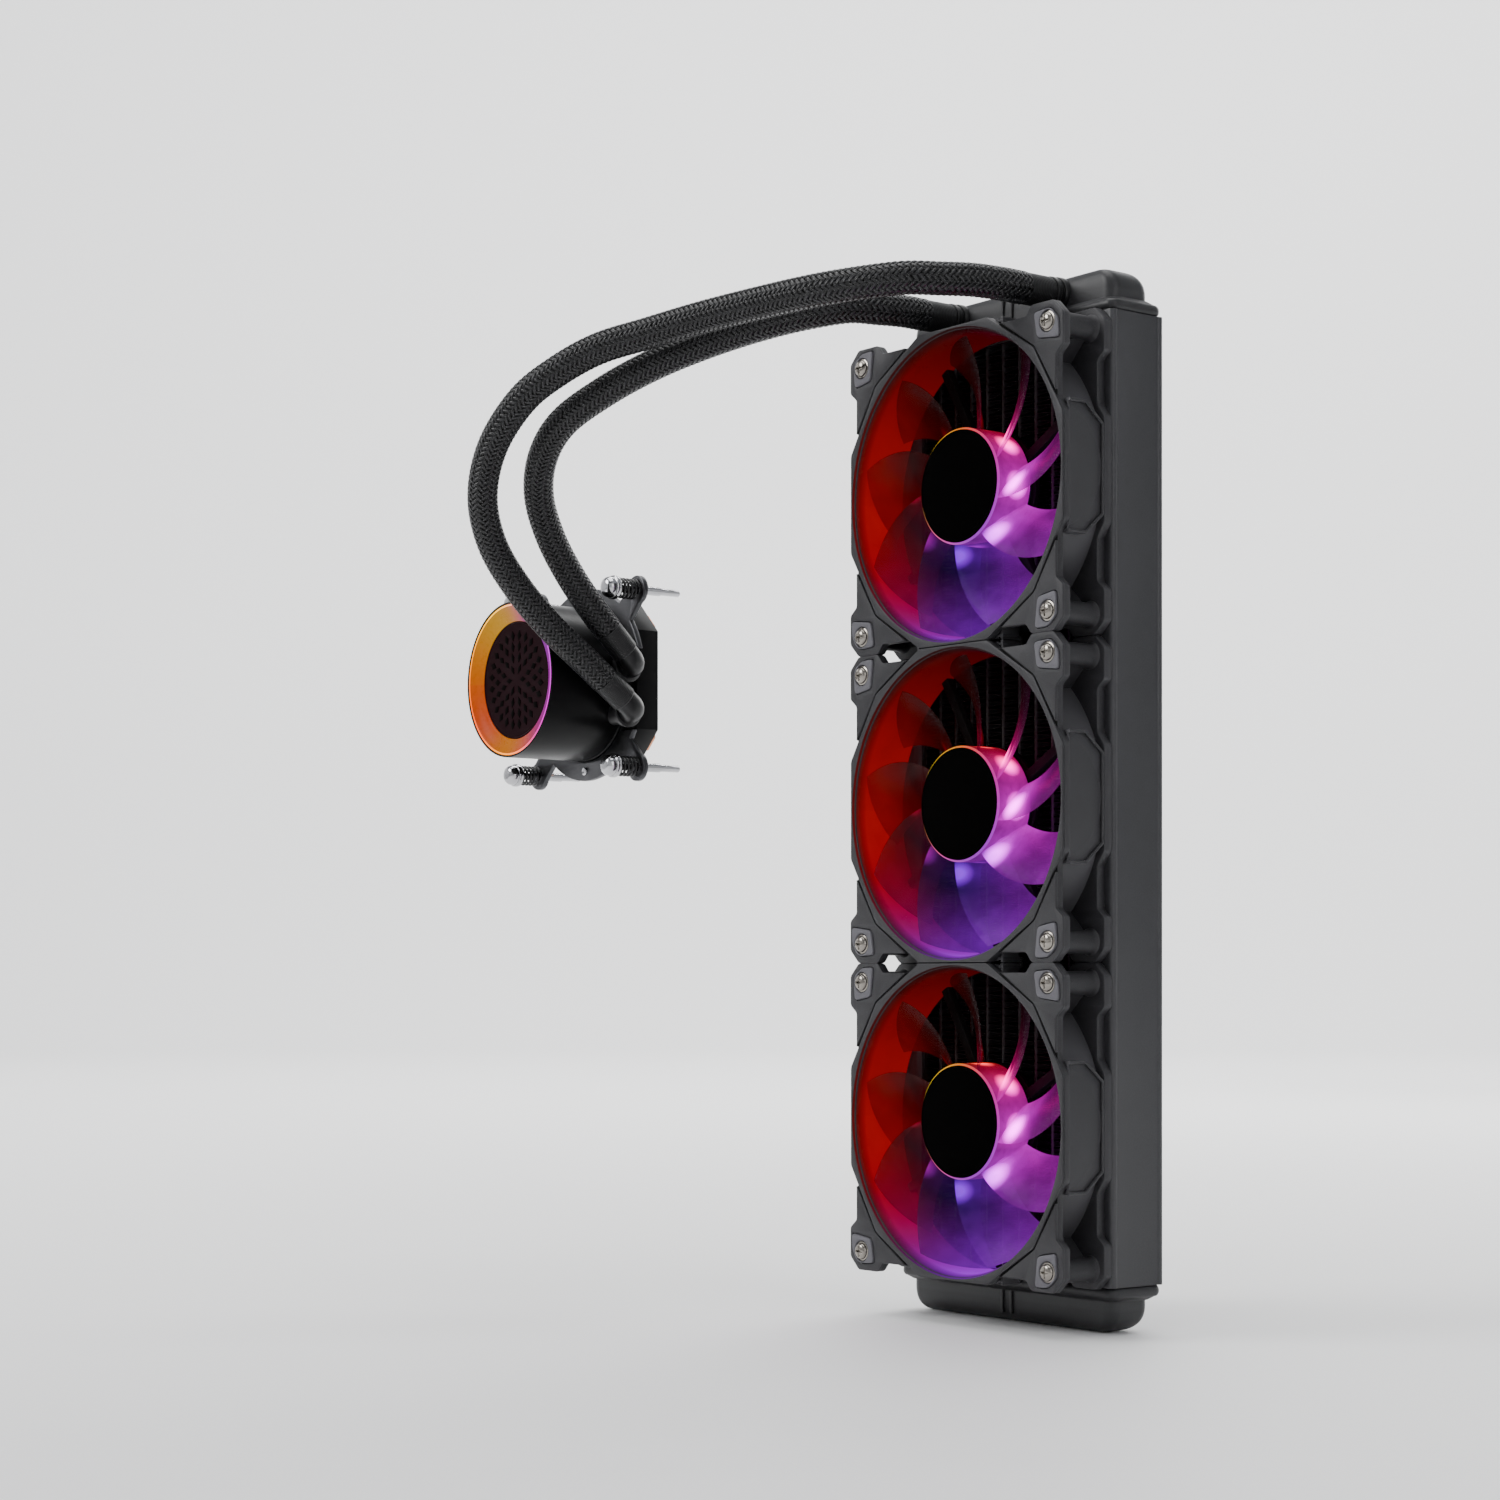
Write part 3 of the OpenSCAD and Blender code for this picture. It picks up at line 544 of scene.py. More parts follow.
def braid_material():
    """Black nylon filaments: ridges along each strand, a soft gloss and grey glints."""
    s = Shader("hose_braid", Roughness=0.3, Specular_IOR_Level=0.42)
    uv = s.nodes.new("ShaderNodeUVMap")
    uv.uv_map = "strand"
    split = s.nodes.new("ShaderNodeSeparateXYZ")
    s.links.new(uv.outputs[0], split.inputs[0])
    ridges = s.math("ABSOLUTE", s.math("SINE", s.times(split.outputs[1], 5 * math.pi)))
    flecks = s.noise(700, 3)
    glint = s.span(s.times(ridges, flecks), 0.35, 0.62)
    s.to(s.mix(glint, grey(0.0022), (0.036, 0.036, 0.040, 1)), "Base Color")
    s.to(s.vary(flecks, 0.22, 0.4), "Roughness")
    s.to(s.bump(ridges, 0.06, 0.9), "Normal")
    return s.material


def braided_sleeve(route):
    """The woven sleeve: strands that wind both ways round the hose, two over and two under."""
    line, marks = smooth_line(np.array(route) / MM, 0.55)
    side, up = side_vectors(line)
    step = LAY_LENGTH / (2 * STRANDS)
    middle = HOSE_D / 2 - WAVE - STRAND_T / 2
    profile = [(-0.5, -0.25), (-0.22, 0.5), (0.22, 0.5), (0.5, -0.25)]
    angle_to_axis = math.atan2(2 * math.pi * middle, LAY_LENGTH)
    half_turn_w = STRAND_W / 2 / math.cos(angle_to_axis) / middle
    verts, faces, uvs = [], [], []
    rows = len(line)
    for way in (1, -1):
        for i in range(STRANDS):
            phase = 2 * i + way * marks / step
            lift = way * WAVE * np.cos(math.pi / 2 * (phase - 0.5))
            turn = 2 * math.pi * (i / STRANDS + way * marks / LAY_LENGTH)
            base = len(verts)
            for across, raised in profile:
                a = turn + 2 * across * half_turn_w
                r = middle + lift + raised * STRAND_T
                ring = line + r[:, None] * (side * np.cos(a)[:, None] + up * np.sin(a)[:, None])
                verts += [tuple(p) for p in ring]
            for q in range(4):
                u, v = base + q * rows, base + (q + 1) % 4 * rows
                for k in range(rows - 1):
                    faces.append((u + k, u + k + 1, v + k + 1, v + k))
                    uvs += [(marks[k], q / 3), (marks[k + 1], q / 3),
                            (marks[k + 1], (q + 1) / 3), (marks[k], (q + 1) / 3)]
            for k in (0, rows - 1):
                faces.append(tuple(base + q * rows + k for q in range(4)))
                uvs += [(marks[k], q / 3) for q in range(4)]
    mesh = bpy.data.meshes.new("braid")
    mesh.from_pydata([tuple(c * MM for c in v) for v in verts], [], faces)
    layer = mesh.uv_layers.new(name="strand")
    layer.data.foreach_set("uv", [c for uv in uvs for c in uv])
    mesh.polygons.foreach_set("use_smooth", [True] * len(mesh.polygons))
    inner = sweep(line[::6], [middle - 0.3] * len(line[::6]), 24)
    return joined([(mesh, STILL, 0), (inner, STILL, 1)]), line * MM, marks[-1] * MM


braid = braid_material()
for side_name, route in (("supply", SUPPLY_ROUTE), ("return", RETURN_ROUTE)):
    mesh, centreline, hose_length = braided_sleeve(route)
    hose = add_piece(side_name + "_hose_braid", mesh, ROOT, (braid, MATERIALS["seal_rubber"]), "hose_braid",
                     side_name + "_hose")

# ---- glowing materials

PUMP_AT = (-220, -52, 61)

# Still points that the lit colours are measured from, so they stay put while the rotors turn
fan_centre = new_object("fan_light_centre", None)
fan_centre.location = (0, -0.027, 0)
pump_centre = new_object("pump_light_centre", None)
pump_centre.location = Vector(PUMP_AT) * MM


def wheel(s, angle, stops):
    """A colour for each direction. Stops are (degrees anticlockwise from the right, red, green, blue)."""
    ordered = sorted(((degrees + 180) % 360 / 360, colour) for degrees, *colour in stops)
    ordered = [(0.0, ordered[-1][1])] + ordered if ordered[0][0] > 0 else ordered
    return s.ramp(angle, ordered + [(1.0, ordered[0][1])], "B_SPLINE")


# What each direction of a fan's light looks like, close to the hub and out at the blade tips
NEAR_HUB = [
    (-180, 0.07, 0, 0.002), (-150, 0.06, 0, 0.012), (-120, 0.02, 0, 0.07), (-95, 0.03, 0, 0.15),
    (-70, 0.11, 0, 0.33), (-45, 0.5, 0, 0.72), (-22, 1.15, 0, 1.15), (0, 1.5, 0, 1.25), (25, 1.3, 0, 0.62),
    (45, 0.6, 0, 0.12), (65, 0.07, 0, 0.006), (90, 0.012, 0, 0), (135, 0.03, 0, 0),
]
AT_TIPS = [
    (-180, 0.34, 0, 0), (-155, 0.36, 0, 0.002), (-130, 0.26, 0, 0.05), (-110, 0.17, 0, 0.3),
    (-90, 0.28, 0, 0.75), (-65, 0.36, 0, 0.78), (-40, 0.46, 0, 0.66), (-15, 0.48, 0, 0.52),
    (10, 0.24, 0, 0.19), (35, 0.04, 0, 0.018), (60, 0.012, 0, 0.002), (90, 0.012, 0, 0), (125, 0.08, 0, 0),
    (150, 0.26, 0, 0),
]
# Painted light: the fan's lamps lighting the duct's inner wall, painted as a glow on the wall and on the
# trim's lip
DUCT_WALL_LIGHT = [
    (-180, 0.36, 0, 0), (-150, 0.38, 0, 0.004), (-130, 0.3, 0, 0.06), (-110, 0.24, 0, 0.32),
    (-90, 0.42, 0, 1.0), (-65, 0.48, 0, 0.95), (-40, 0.46, 0, 0.6), (-10, 0.4, 0, 0.32),
    (30, 0.15, 0, 0.08), (60, 0.06, 0, 0.01), (90, 0.05, 0, 0), (120, 0.11, 0, 0), (150, 0.26, 0, 0),
]
HUB_SIDE = [
    (-180, 0.5, 0.12, 0), (-140, 0.45, 0, 0.08), (-110, 0.35, 0, 0.4), (-80, 0.4, 0, 0.7),
    (-40, 0.7, 0, 0.9), (0, 1.3, 0, 1.0), (35, 1.2, 0, 0.45), (60, 0.8, 0, 0.06), (90, 0.5, 0.02, 0),
    (135, 0.55, 0.1, 0),
]
HUB_EDGE = [
    (-180, 2.6, 1.0, 0.02), (-155, 2.0, 0.35, 0.04), (-130, 1.1, 0.09, 0.3), (-90, 0.42, 0.03, 0.7),
    (-45, 0.42, 0.01, 0.75), (0, 0.65, 0.01, 0.62), (45, 0.75, 0.01, 0.26), (75, 1.1, 0.05, 0.008),
    (100, 1.8, 0.32, 0.008), (140, 2.4, 0.75, 0.014),
]
PUMP_RING = [
    (-180, 1.2, 0.17, 0), (-155, 1.15, 0.1, 0), (-130, 1.1, 0.085, 0), (-105, 1.4, 0.33, 0),
    (-85, 1.3, 0.24, 0.004), (-60, 0.7, 0.012, 0.15), (-35, 0.55, 0, 0.5), (-10, 0.6, 0, 0.55),
    (20, 0.5, 0, 0.6), (50, 0.38, 0, 0.6), (75, 0.65, 0.08, 0.45), (95, 1.4, 0.48, 0.04),
    (120, 1.4, 0.5, 0.01), (150, 1.3, 0.33, 0),
]

# The lights inside a fan's hub, and how far on the first one is, as a share of their spacing
FAN_LIGHTS = 8
LIGHTS_TURN = 0.59


def hot_spots(s, angle, radius_like, middle, spread, size):
    """Round spots, one for each light, at middle along radius_like in mm, and their halos, from 0 to 1."""
    turn = s.math("FRACT", s.plus(s.times(angle, FAN_LIGHTS), LIGHTS_TURN))
    along = s.times(s.math("SUBTRACT", turn, 0.5), spread)
    across = s.math("SUBTRACT", radius_like, middle)
    far = s.length(along, across)
    core = s.math("POWER", s.span(far, 0.3 * size, size, 1.0, 0.0), 1.3)
    return core, s.span(far, 0.3 * size, 2.4 * size, 1.0, 0.0)


def blade_material():
    """Smoked translucent plastic with fine moulding lines, lit from the hub and from the rim."""
    s = Shader("rotor_smoke", Alpha=0.62, Specular_IOR_Level=0.05, Emission_Strength=1.0)
    # The blades' glow is painted light from the hub's lamps and the rim, held still while the rotor turns
    angle, radius, _ = s.around(fan_centre)
    outward = s.span(radius, 33, 52)
    fade = s.span(radius, 23, 47, 1.0, 0.2)
    near = s.dim(wheel(s, angle, NEAR_HUB), fade)
    light = s.mix(outward, near, wheel(s, angle, AT_TIPS))
    core, halo = hot_spots(s, angle, radius, 26.5, 20.0, 5.6)
    streaks = s.noise(170, 3, 0.6, stretch=(1, 0.25, 1))
    glow = s.dim(light, s.times(s.vary(streaks, 0.78, 1.12), s.plus(0.55, s.times(halo, 0.6))))
    # Painted light: the lamps' hot spots, seen through the blades near the hub
    painted_lamp_spots = s.dim(near, s.times(core, 9.0))
    s.to(s.mix(s.span(streaks, 0.35, 0.7), grey(0.0015), grey(0.004)), "Base Color")
    s.to(s.colour_math("ADD", glow, painted_lamp_spots), "Emission Color")
    s.to(s.vary(streaks, 0.24, 0.38), "Roughness")
    s.to(s.bump(streaks, 0.03, 0.5), "Normal")
    return s.material


def hub_side_material():
    """The translucent side of the hub, with eight hot spots where the lights sit behind it."""
    s = Shader("hub_side_glow", Base_Color=grey(0.01), Specular_IOR_Level=0.1, Emission_Strength=0.5)
    angle, _, depth = s.around(fan_centre)
    core, halo = hot_spots(s, angle, depth, -12.0, 17.3, 6.0)
    flecks = s.noise(320, 3)
    colour = s.dim(wheel(s, angle, HUB_SIDE), s.plus(0.45, s.times(halo, 0.8)))
    s.to(s.colour_math("ADD", s.dim(colour, s.vary(flecks, 0.85, 1.1)), s.dim(colour, s.times(core, 9.0))),
         "Emission Color")
    s.to(s.vary(flecks, 0.24, 0.36), "Roughness")
    return s.material


def lit_material(name, centre, stops, strength, base=0.02, rough=0.35, mask=None, grain=500):
    """A lit surface whose colour turns with the direction from centre. mask is (low, high, at low, at high)
    for the depth in mm."""
    s = Shader(name, Specular_IOR_Level=0.06, Emission_Strength=strength)
    angle, _, depth = s.around(centre)
    colour = wheel(s, angle, stops)
    flecks = s.noise(grain, 3)
    level = s.vary(flecks, 0.95, 1.04)
    if mask:
        level = s.times(level, s.span(depth, *mask))
    s.to(s.dim(colour, level), "Emission Color")
    s.to(s.mix(s.vary(flecks), grey(base * 0.8), grey(base * 1.3)), "Base Color")
    s.to(s.vary(flecks, rough - 0.06, rough + 0.07), "Roughness")
    s.to(s.bump(flecks, 0.004, 0.5), "Normal")
    return s.material


blade_smoke = blade_material()
hub_side = hub_side_material()
hub_edge = lit_material("hub_edge_glow", fan_centre, HUB_EDGE, 1.0)
# The duct's inner wall takes painted light from the fan's lamps
duct_painted_light = lit_material("duct_painted_light", fan_centre, DUCT_WALL_LIGHT, 1.0, 0.006, 0.3, (-24.5, -19, 0.10, 1.0), 90)
# Painted light: the fan's light on the trim's lip, painted as a faint glow
trim_lip_painted_light = lit_material("trim_lip_painted_light", fan_centre, DUCT_WALL_LIGHT, 0.3, 0.006, 0.4)
ring_glow = lit_material("pump_diffuser", pump_centre, PUMP_RING, 0.6, 0.004, 0.3)
ring_rim = lit_material("pump_rim_glow", pump_centre, PUMP_RING, 3.0, 0.004, 0.3)
MATERIALS["rotor_smoke"] = blade_smoke
MATERIALS["pump_diffuser"] = ring_glow
MATERIALS["fan_trim_grey"] = MATERIALS["fan_frame_grey"]
MATERIALS["hose_braid"] = braid

# ---- fans

FAN_REAR = -27
TRIM_REAR, TRIM_FRONT = 24.05, 25
DUCT_R = 57.5
SCREW = (52.5, 52.5)
OUTLINE = [
    (60, 19.2), (56.3, 24.5), (56.3, 40.5), (60, 43.5), (60, 55),
    (55, 60), (43.5, 60), (40.5, 56.3), (24.5, 56.3), (19.2, 60),
]
TRIM_CORNER = (44.5, 44.5)
PAD = [(45.4, 56.7), (54, 57.3), (58.1, 52.7), (58.4, 45.9), (47, 47.3)]
HUB_R = 22.0
HUB_BACK = 5.2
HUB_FRONT = 21.4


def turned(points, degrees):
    a = math.radians(degrees)
    return [(x * math.cos(a) - y * math.sin(a), x * math.sin(a) + y * math.cos(a)) for x, y in points]


def all_round(points):
    return [p for q in range(4) for p in turned(points, 90 * q)]


def scaled(points, factor):
    c = np.mean(points, axis=0)
    return [tuple(c + (np.array(p) - c) * factor) for p in points]


def rounded(points, radius):
    """The closed outline with its corners rounded."""
    return [tuple(p) for p in rounded_profile(points, radius, 4)]


def bar(x0, x1, half_w, z0, z1, bevel=0.4):
    return plate([[(x0, -half_w), (x1, -half_w), (x1, half_w), (x0, half_w)]], z0, z1, bevel)


def quarter(q, extra=0):
    return Matrix.Rotation(math.radians(90 * q + extra), 4, "Z")


OUTWARD = Matrix(((0, 0, 1, 0), (1, 0, 0, 0), (0, 1, 0, 0), (0, 0, 0, 1)))


def frame_mesh():
    """The fan's frame: flanges, corner posts and gussets, duct, side panels, struts and motor mount."""
    parts = []
    screw_holes = [circle(2.15, 20, p) for p in all_round([SCREW])]
    outer = rounded(all_round(OUTLINE), 1.2)
    parts.append((plate([outer, circle(DUCT_R + 0.6, 120)] + screw_holes, 0, 4, 0.6), STILL, 0))
    parts.append((plate([outer, circle(DUCT_R + 0.9, 120)] + screw_holes, 21, TRIM_REAR, 0.5), STILL, 0))
    corner = [(56.3, 26.9)] + OUTLINE[2:-2] + [(26.9, 56.3), (44.95, 44.95)]
    pad_hole = rounded(scaled(PAD, 1.05), 2.0)
    cheek = plate([rounded(corner, 1.0), pad_hole], 23.6, TRIM_FRONT, 0.35)
    parts += [(cheek, quarter(q), 0) for q in range(4)]
    # Painted shade: a near-black sheet at the bottom of the gap between the trim and each corner piece
    gap_shade = plate([[(56.2, 25.2), (56.2, 27.4), (45.7, 45.7), (27.4, 56.2), (25.2, 56.2), (43.6, 43.6)]],
                   23.8, 24.09, 0.02)
    parts += [(gap_shade, quarter(q), 2) for q in range(4)]
    duct = [
        (DUCT_R, 0.2), (DUCT_R + 1.8, 0.2), (DUCT_R + 1.8, 24), (58.75, 24), (58.2, 23), (DUCT_R, 20.6),
    ]
    # The duct's inner wall and front bevel take the second material, the painted light of the lamps
    parts.append((lathe(duct, 144, 40, [0, 0, 0, 1, 1, 1]), STILL, None))
    post = [(0, 3.5), (5.6, 3.5), (4.75, 4.6), (4.4, 6), (4.4, 19), (4.75, 20.4), (5.6, 21.5), (0, 21.5)]
    post_mesh = lathe(post, 32, 50)
    for x, y in all_round([SCREW]):
        parts.append((post_mesh, Matrix.Translation((x * MM, y * MM, 0)), 0))
    gusset = [(DUCT_R + 0.5, 3), (73, 3), (70.5, 7), (68.6, 12.5), (70.5, 18), (73, 22), (DUCT_R + 0.5, 22)]
    gusset_mesh = plate([gusset], -0.8, 0.8, 0.25)
    upright = Matrix.Rotation(math.pi / 2, 4, "X")
    parts += [(gusset_mesh, quarter(q, 45) @ upright, 0) for q in range(4)]
    wide, low, bend = 24.3, 16.8, 8.7
    outline = [(-wide, 17.2), (-wide, bend), (-low, 0), (low, 0), (wide, bend), (wide, 17.2)]
    inside = [(1.2 - wide, 17.3), (1.2 - wide, bend + 0.6), (0.6 - low, 1.2),
              (low - 0.6, 1.2), (wide - 1.2, bend + 0.6), (wide - 1.2, 17.3)]
    rim = outline + inside[::-1]
    arch = [(x, y) for x, y in arc(23.2, 200, 340, 40, (0, 24.8)) if y < 17.2]
    panel = plate([outline], -0.35, 0.7, 0.2)
    rim_mesh = plate([rim], 0.6, 1.62, 0.3)
    shield = plate([[(arch[0][0], 17.2)] + arch + [(arch[-1][0], 17.2)]], 0.6, 1.15, 0.2)
    web = plate([[(54.6, 22.9), (58.2, 22.9), (58.2, 24.2), (54.6, 24.2)]], 12.9, 21.1, 0.1)
    for q in range(4):
        place = quarter(q) @ Matrix.Translation((58.3 * MM, 0, 4 * MM)) @ OUTWARD
        parts += [(rim_mesh, place, 0), (panel, place, 0), (shield, place, 0), (web, quarter(q), 0)]
        parts.append((web, quarter(q) @ Matrix.Translation((0, -47.1 * MM, 0)), 0))
    strut = bar(20, DUCT_R + 1, 2, 0, 3.5, 0.6)
    parts += [(strut, quarter(q, 30), 2) for q in range(4)]
    mount = [(3.4, 0.2), (HUB_R, 0.2), (HUB_R, 2.5), (4.6, 2.5), (4.6, 16.5), (3.4, 16.5)]
    parts.append((lathe(rounded_profile(mount, 0.4), 64, 35), STILL, 2))
    return joined(parts)


def trim_mesh():
    """The four-cornered front ring, with its bevelled lip round the opening."""
    outline = []
    for q in range(4):
        outline += turned([(59.8, 19.15), TRIM_CORNER, (19.15, 59.8)], 90 * q)
    front = plate([rounded(outline, 1.0), circle(59.0, 144)], TRIM_REAR, TRIM_FRONT, 0.22)
    # The lip takes the second material, painted with the fan's light
    lip = lathe([(58.62, 24.0), (59.15, 24.0), (59.15, 24.9), (59.0, 24.85)], 144, 40)
    return joined([(front, STILL, 0), (lip, STILL, 1)])


def pads_mesh():
    """The soft corner pads, each with a raised rounded edge and a hole for its screw."""
    pad = plate([rounded(PAD, 1.8), circle(4.05, 32, SCREW)], TRIM_REAR, 25.7, 0.4)
    parts = []
    for z in FANS.values():
        parts += [(pad, facing(0, FAN_REAR, z) @ quarter(q), 0) for q in range(4)]
    return joined(parts)


def blade_mesh():
    """Nine swept, twisted and cambered blades, in mm: stations from root to tip."""
    stations, columns, blades = 16, 10, 9
    verts, faces = [], []
    for k in range(blades):
        base = len(verts)
        for i in range(stations):
            t = i / (stations - 1)
            r = 21.4 + (56.2 - 21.4) * t
            chord = 20.5 + 10.5 * t
            pitch = math.radians(47 - 17 * t)
            sweep_angle = math.radians(20) * t ** 1.4 + 2 * math.pi * k / blades
            thick = 1.3 - 0.45 * t
            upper, lower = [], []
            for j in range(columns):
                s = j / (columns - 1) - 0.5
                edge = 1 - (2 * s) ** 2
                half_t = thick / 2 * (0.25 + 0.75 * math.sqrt(max(edge, 0)))
                rise = 0.055 * chord * edge
                for sign, out in ((1, upper), (-1, lower)):
                    n = rise + sign * half_t
                    tangential = s * chord * math.cos(pitch) + n * math.sin(pitch)
                    axial = 13.2 - s * chord * math.sin(pitch) + n * math.cos(pitch)
                    a = sweep_angle + tangential / r
                    out.append((r * math.cos(a), r * math.sin(a), min(21.1, max(5.5, axial))))
            verts += upper + lower[::-1]
        ring = 2 * columns
        faces += wall_faces(stations, ring, base) + end_faces(len(verts) - ring, base, ring)[::-1]
    return mesh_from(verts, faces, 45)


def rotor_mesh():
    """The blades and the hub's cup, whose front edge and side are lit."""
    cup = [
        (1.55, 19.6), (20.5, 19.6), (20.5, HUB_BACK), (21.75, HUB_BACK), (HUB_R, HUB_BACK + 0.3),
        (HUB_R, 20.7), (21.85, 21.15), (21.5, HUB_FRONT), (21.28, HUB_FRONT), (21.28, 21.0), (1.55, 21.0),
    ]
    hub = lathe(cup, 96, 35, [0, 0, 0, 0, 1, 2, 2, 2, 2, 0, 0])
    return joined([(blade_mesh(), STILL, 0), (hub, STILL, None)])


def cap_mesh():
    """The hub's flat black disc: a shallow ring channel and a rounded edge."""
    profile = [(0, 21.05), (21.2, 21.05), (21.2, 21.75), (20.95, 22), (20.2, 22), (20.0, 21.88),
               (19.8, 22), (0, 22)]
    return lathe(profile, 96, 35)


def screw_mesh():
    """A pan-head screw with a washer face and a cross recess."""
    head = [(0, 24.02), (3.8, 24.02), (3.85, 24.6), (3.7, 25.3), (3.2, 25.45), (3.15, 25.9), (2.85, 26.5),
            (2.2, 26.95), (1.2, 27.15), (0, 27.2)]
    body = lathe(head, 48, 40)
    shank = lathe([(0, -3), (1.1, -3), (1.4, -2.4), (1.4, 24.1), (0, 24.1)], 20, 40)
    cutter = joined([
        (plate([[(-2.1, -0.42), (2.1, -0.42), (2.1, 0.42), (-2.1, 0.42)]], 25.7, 29, 0.01), quarter(q), 0)
        for q in (0, 1)
    ])
    tool = new_object("tool", cutter)
    out = baked(body, ("BOOLEAN", {"object": tool, "operation": "DIFFERENCE", "solver": "EXACT",
                                   "use_self": True}))
    bpy.data.objects.remove(tool)
    return joined([(out, STILL, 0), (shank, STILL, 0)])


frame_grey = MATERIALS["fan_frame_grey"]
cap_black = MATERIALS["cap_black"]
# The frame's third material: near-black, for the painted shade sheets in the gaps and for the struts and motor
# mount
frame_near_black = MATERIALS["seal_rubber"]
frame_data, trim_data, rotor_data, cap_data = frame_mesh(), trim_mesh(), rotor_mesh(), cap_mesh()
for name, z in FANS.items():
    place = facing(0, FAN_REAR, z)
    spinner = name + "_fan_spinner"
    for data, label, body, finishes, slot in (
        (frame_data, "frame", ROOT, (frame_grey, duct_painted_light, frame_near_black), "fan_frame_grey"),
        (trim_data, "trim", ROOT, (frame_grey, trim_lip_painted_light), "fan_trim_grey"),
        (rotor_data, "rotor", spinner, (blade_smoke, hub_side, hub_edge), "rotor_smoke"),
        (cap_data, "cap", spinner, (cap_black,), "cap_black"),
    ):
        add_piece(f"{name}_{label}_shell", placed(data, place), body, finishes, slot, f"{name}_fan_{label}")
add_fixed("pads_moulded", pads_mesh(), "pad_rubber", "corner_pads")
screw_data = screw_mesh()
screws = [(screw_data, facing(x, FAN_REAR, z + y), 0) for z in FANS.values() for x, y in all_round([SCREW])]
add_fixed("screws_turned", joined(screws), "screw_nickel", "fan_screws")

# ---- radiator

CORE_X = 58.2
FIN_GAP = 7.292
FIN_STEP = 9.092
FIN_STRIPS = 13
FIN_HALF_Z = 177.5
FIN_PITCH = 1.45
FIN_FRONT, FIN_BACK = -22.0, -5.0
PORTS_X, PORT_Z = (-28, 28), 190.5


def fins_mesh():
    """Thin folded fins between the tubes, with a rounded crest at each fold."""
    folds = int(2 * FIN_HALF_Z / FIN_PITCH)
    verts, faces = [], []
    for strip in range(FIN_STRIPS):
        left = -CORE_X + strip * FIN_STEP + 0.12
        right = left + FIN_GAP - 0.24
        line = []
        for k in range(folds):
            z = -FIN_HALF_Z + (k + 0.5) * FIN_PITCH
            near, far = (left, right) if k % 2 else (right, left)
            line += [(near, z - 0.42 * FIN_PITCH), (near * 0.97 + far * 0.03, z - 0.22 * FIN_PITCH),
                     (far * 0.97 + near * 0.03, z + 0.22 * FIN_PITCH)]
        base = len(verts)
        for x, z in line:
            verts += [(x, FIN_FRONT, z - 0.08), (x, FIN_BACK, z - 0.08), (x, FIN_BACK, z + 0.08),
                      (x, FIN_FRONT, z + 0.08)]
        faces += wall_faces(len(line), 4, base) + [tuple(range(k, k + 4)) for k in (base, len(verts) - 4)]
    return mesh_from(verts, faces, 30)


def dome_mesh():
    """The upper tank: a ledge with rounded edges, and the crowned dome over it. Each ring is a
    rounded rectangle, and the dome's rings draw in towards the top."""
    verts = []

    def ring_at(z, in_x, in_front, in_rear, r, half_x=56.5, front=-23.5, rear=-3.5):
        x, y0, y1 = half_x - in_x - r, front + in_front + r, rear - in_rear - r
        for number, corner in enumerate(((x, y1), (-x, y1), (-x, y0), (x, y0))):
            verts.extend((*point, z) for point in arc(r, 90 * number, 90 * number + 90, 8, corner))

    for a in np.radians(np.linspace(-90, 90, 9)):
        lean = 1.4 * (1 - math.cos(a))
        ring_at(181.7 + 2.1 * math.sin(a), lean, lean, lean, 4.2 - lean * 0.8, 59.9, -26.9, -0.1)
    for a in np.radians(np.linspace(0, 90, 4)):
        draw = 1.2 * math.sin(a) - 1.2
        ring_at(183.8 + 1.2 * (1 - math.cos(math.pi / 2 - a)), draw, draw, draw, 5 + 1.2 * math.cos(a))
    ring_at(187, 0, 0, 0, 5)
    for a in np.radians(np.linspace(0, 84, 14)):
        drop = 1 - math.cos(a)
        early, late = drop ** 1.15, drop ** 1.6
        ring_at(187 + 9.9 * math.sin(a), 9.5 * early, 3.6 * late, 7.4 * early, 5 - 3 * drop)
    count = 4 * 8
    faces = wall_faces(len(verts) // count, count) + end_faces(0, len(verts) - count, count)
    shell = mesh_from(verts, faces, 45)
    rib = plate([rounded([(-0.6, 183), (0.6, 183), (0.6, 194), (-0.6, 194)], 0.5)], 23.0, 24.4, 0.3)
    stand = Matrix.Rotation(math.pi / 2, 4, "X")
    parts = [(shell, STILL, 0)]
    parts += [(rib, Matrix.Translation((x * MM, 0, 0)) @ stand, 0) for x in (-2.5, 2.5)]
    return joined(parts)


def port_part(x):
    """A tank port: three stepped rings in front of the tank, as one lathe."""
    profile = [(4.4, -0.6), (6.4, -0.6), (6.4, 1.7), (6.2, 2.0), (5.7, 2.05), (5.7, 3.5), (6.0, 3.65),
               (6.2, 3.9), (6.2, 5.2), (5.95, 5.5), (4.4, 5.5)]
    return lathe(profile, 56, 35), facing(x, -23.5, PORT_Z), 0


def cuff_mesh(length):
    """A heat-shrink cuff: closely spaced ribs from the sleeve below, and rolled ends."""
    profile = [(4.0, 0.0), (5.45, 0.0), (5.75, 0.25)]
    ribs = int(length / 0.85)
    for k in range(ribs * 4):
        h = 0.5 + (length - 1.0) * k / (ribs * 4)
        profile.append((5.84 + 0.075 * math.sin(math.pi / 2 * k), h))
    profile += [(5.92, length - 0.45), (5.98, length - 0.25), (5.7, length - 0.02), (4.0, length - 0.02)]
    return lathe(profile, 56, 60)


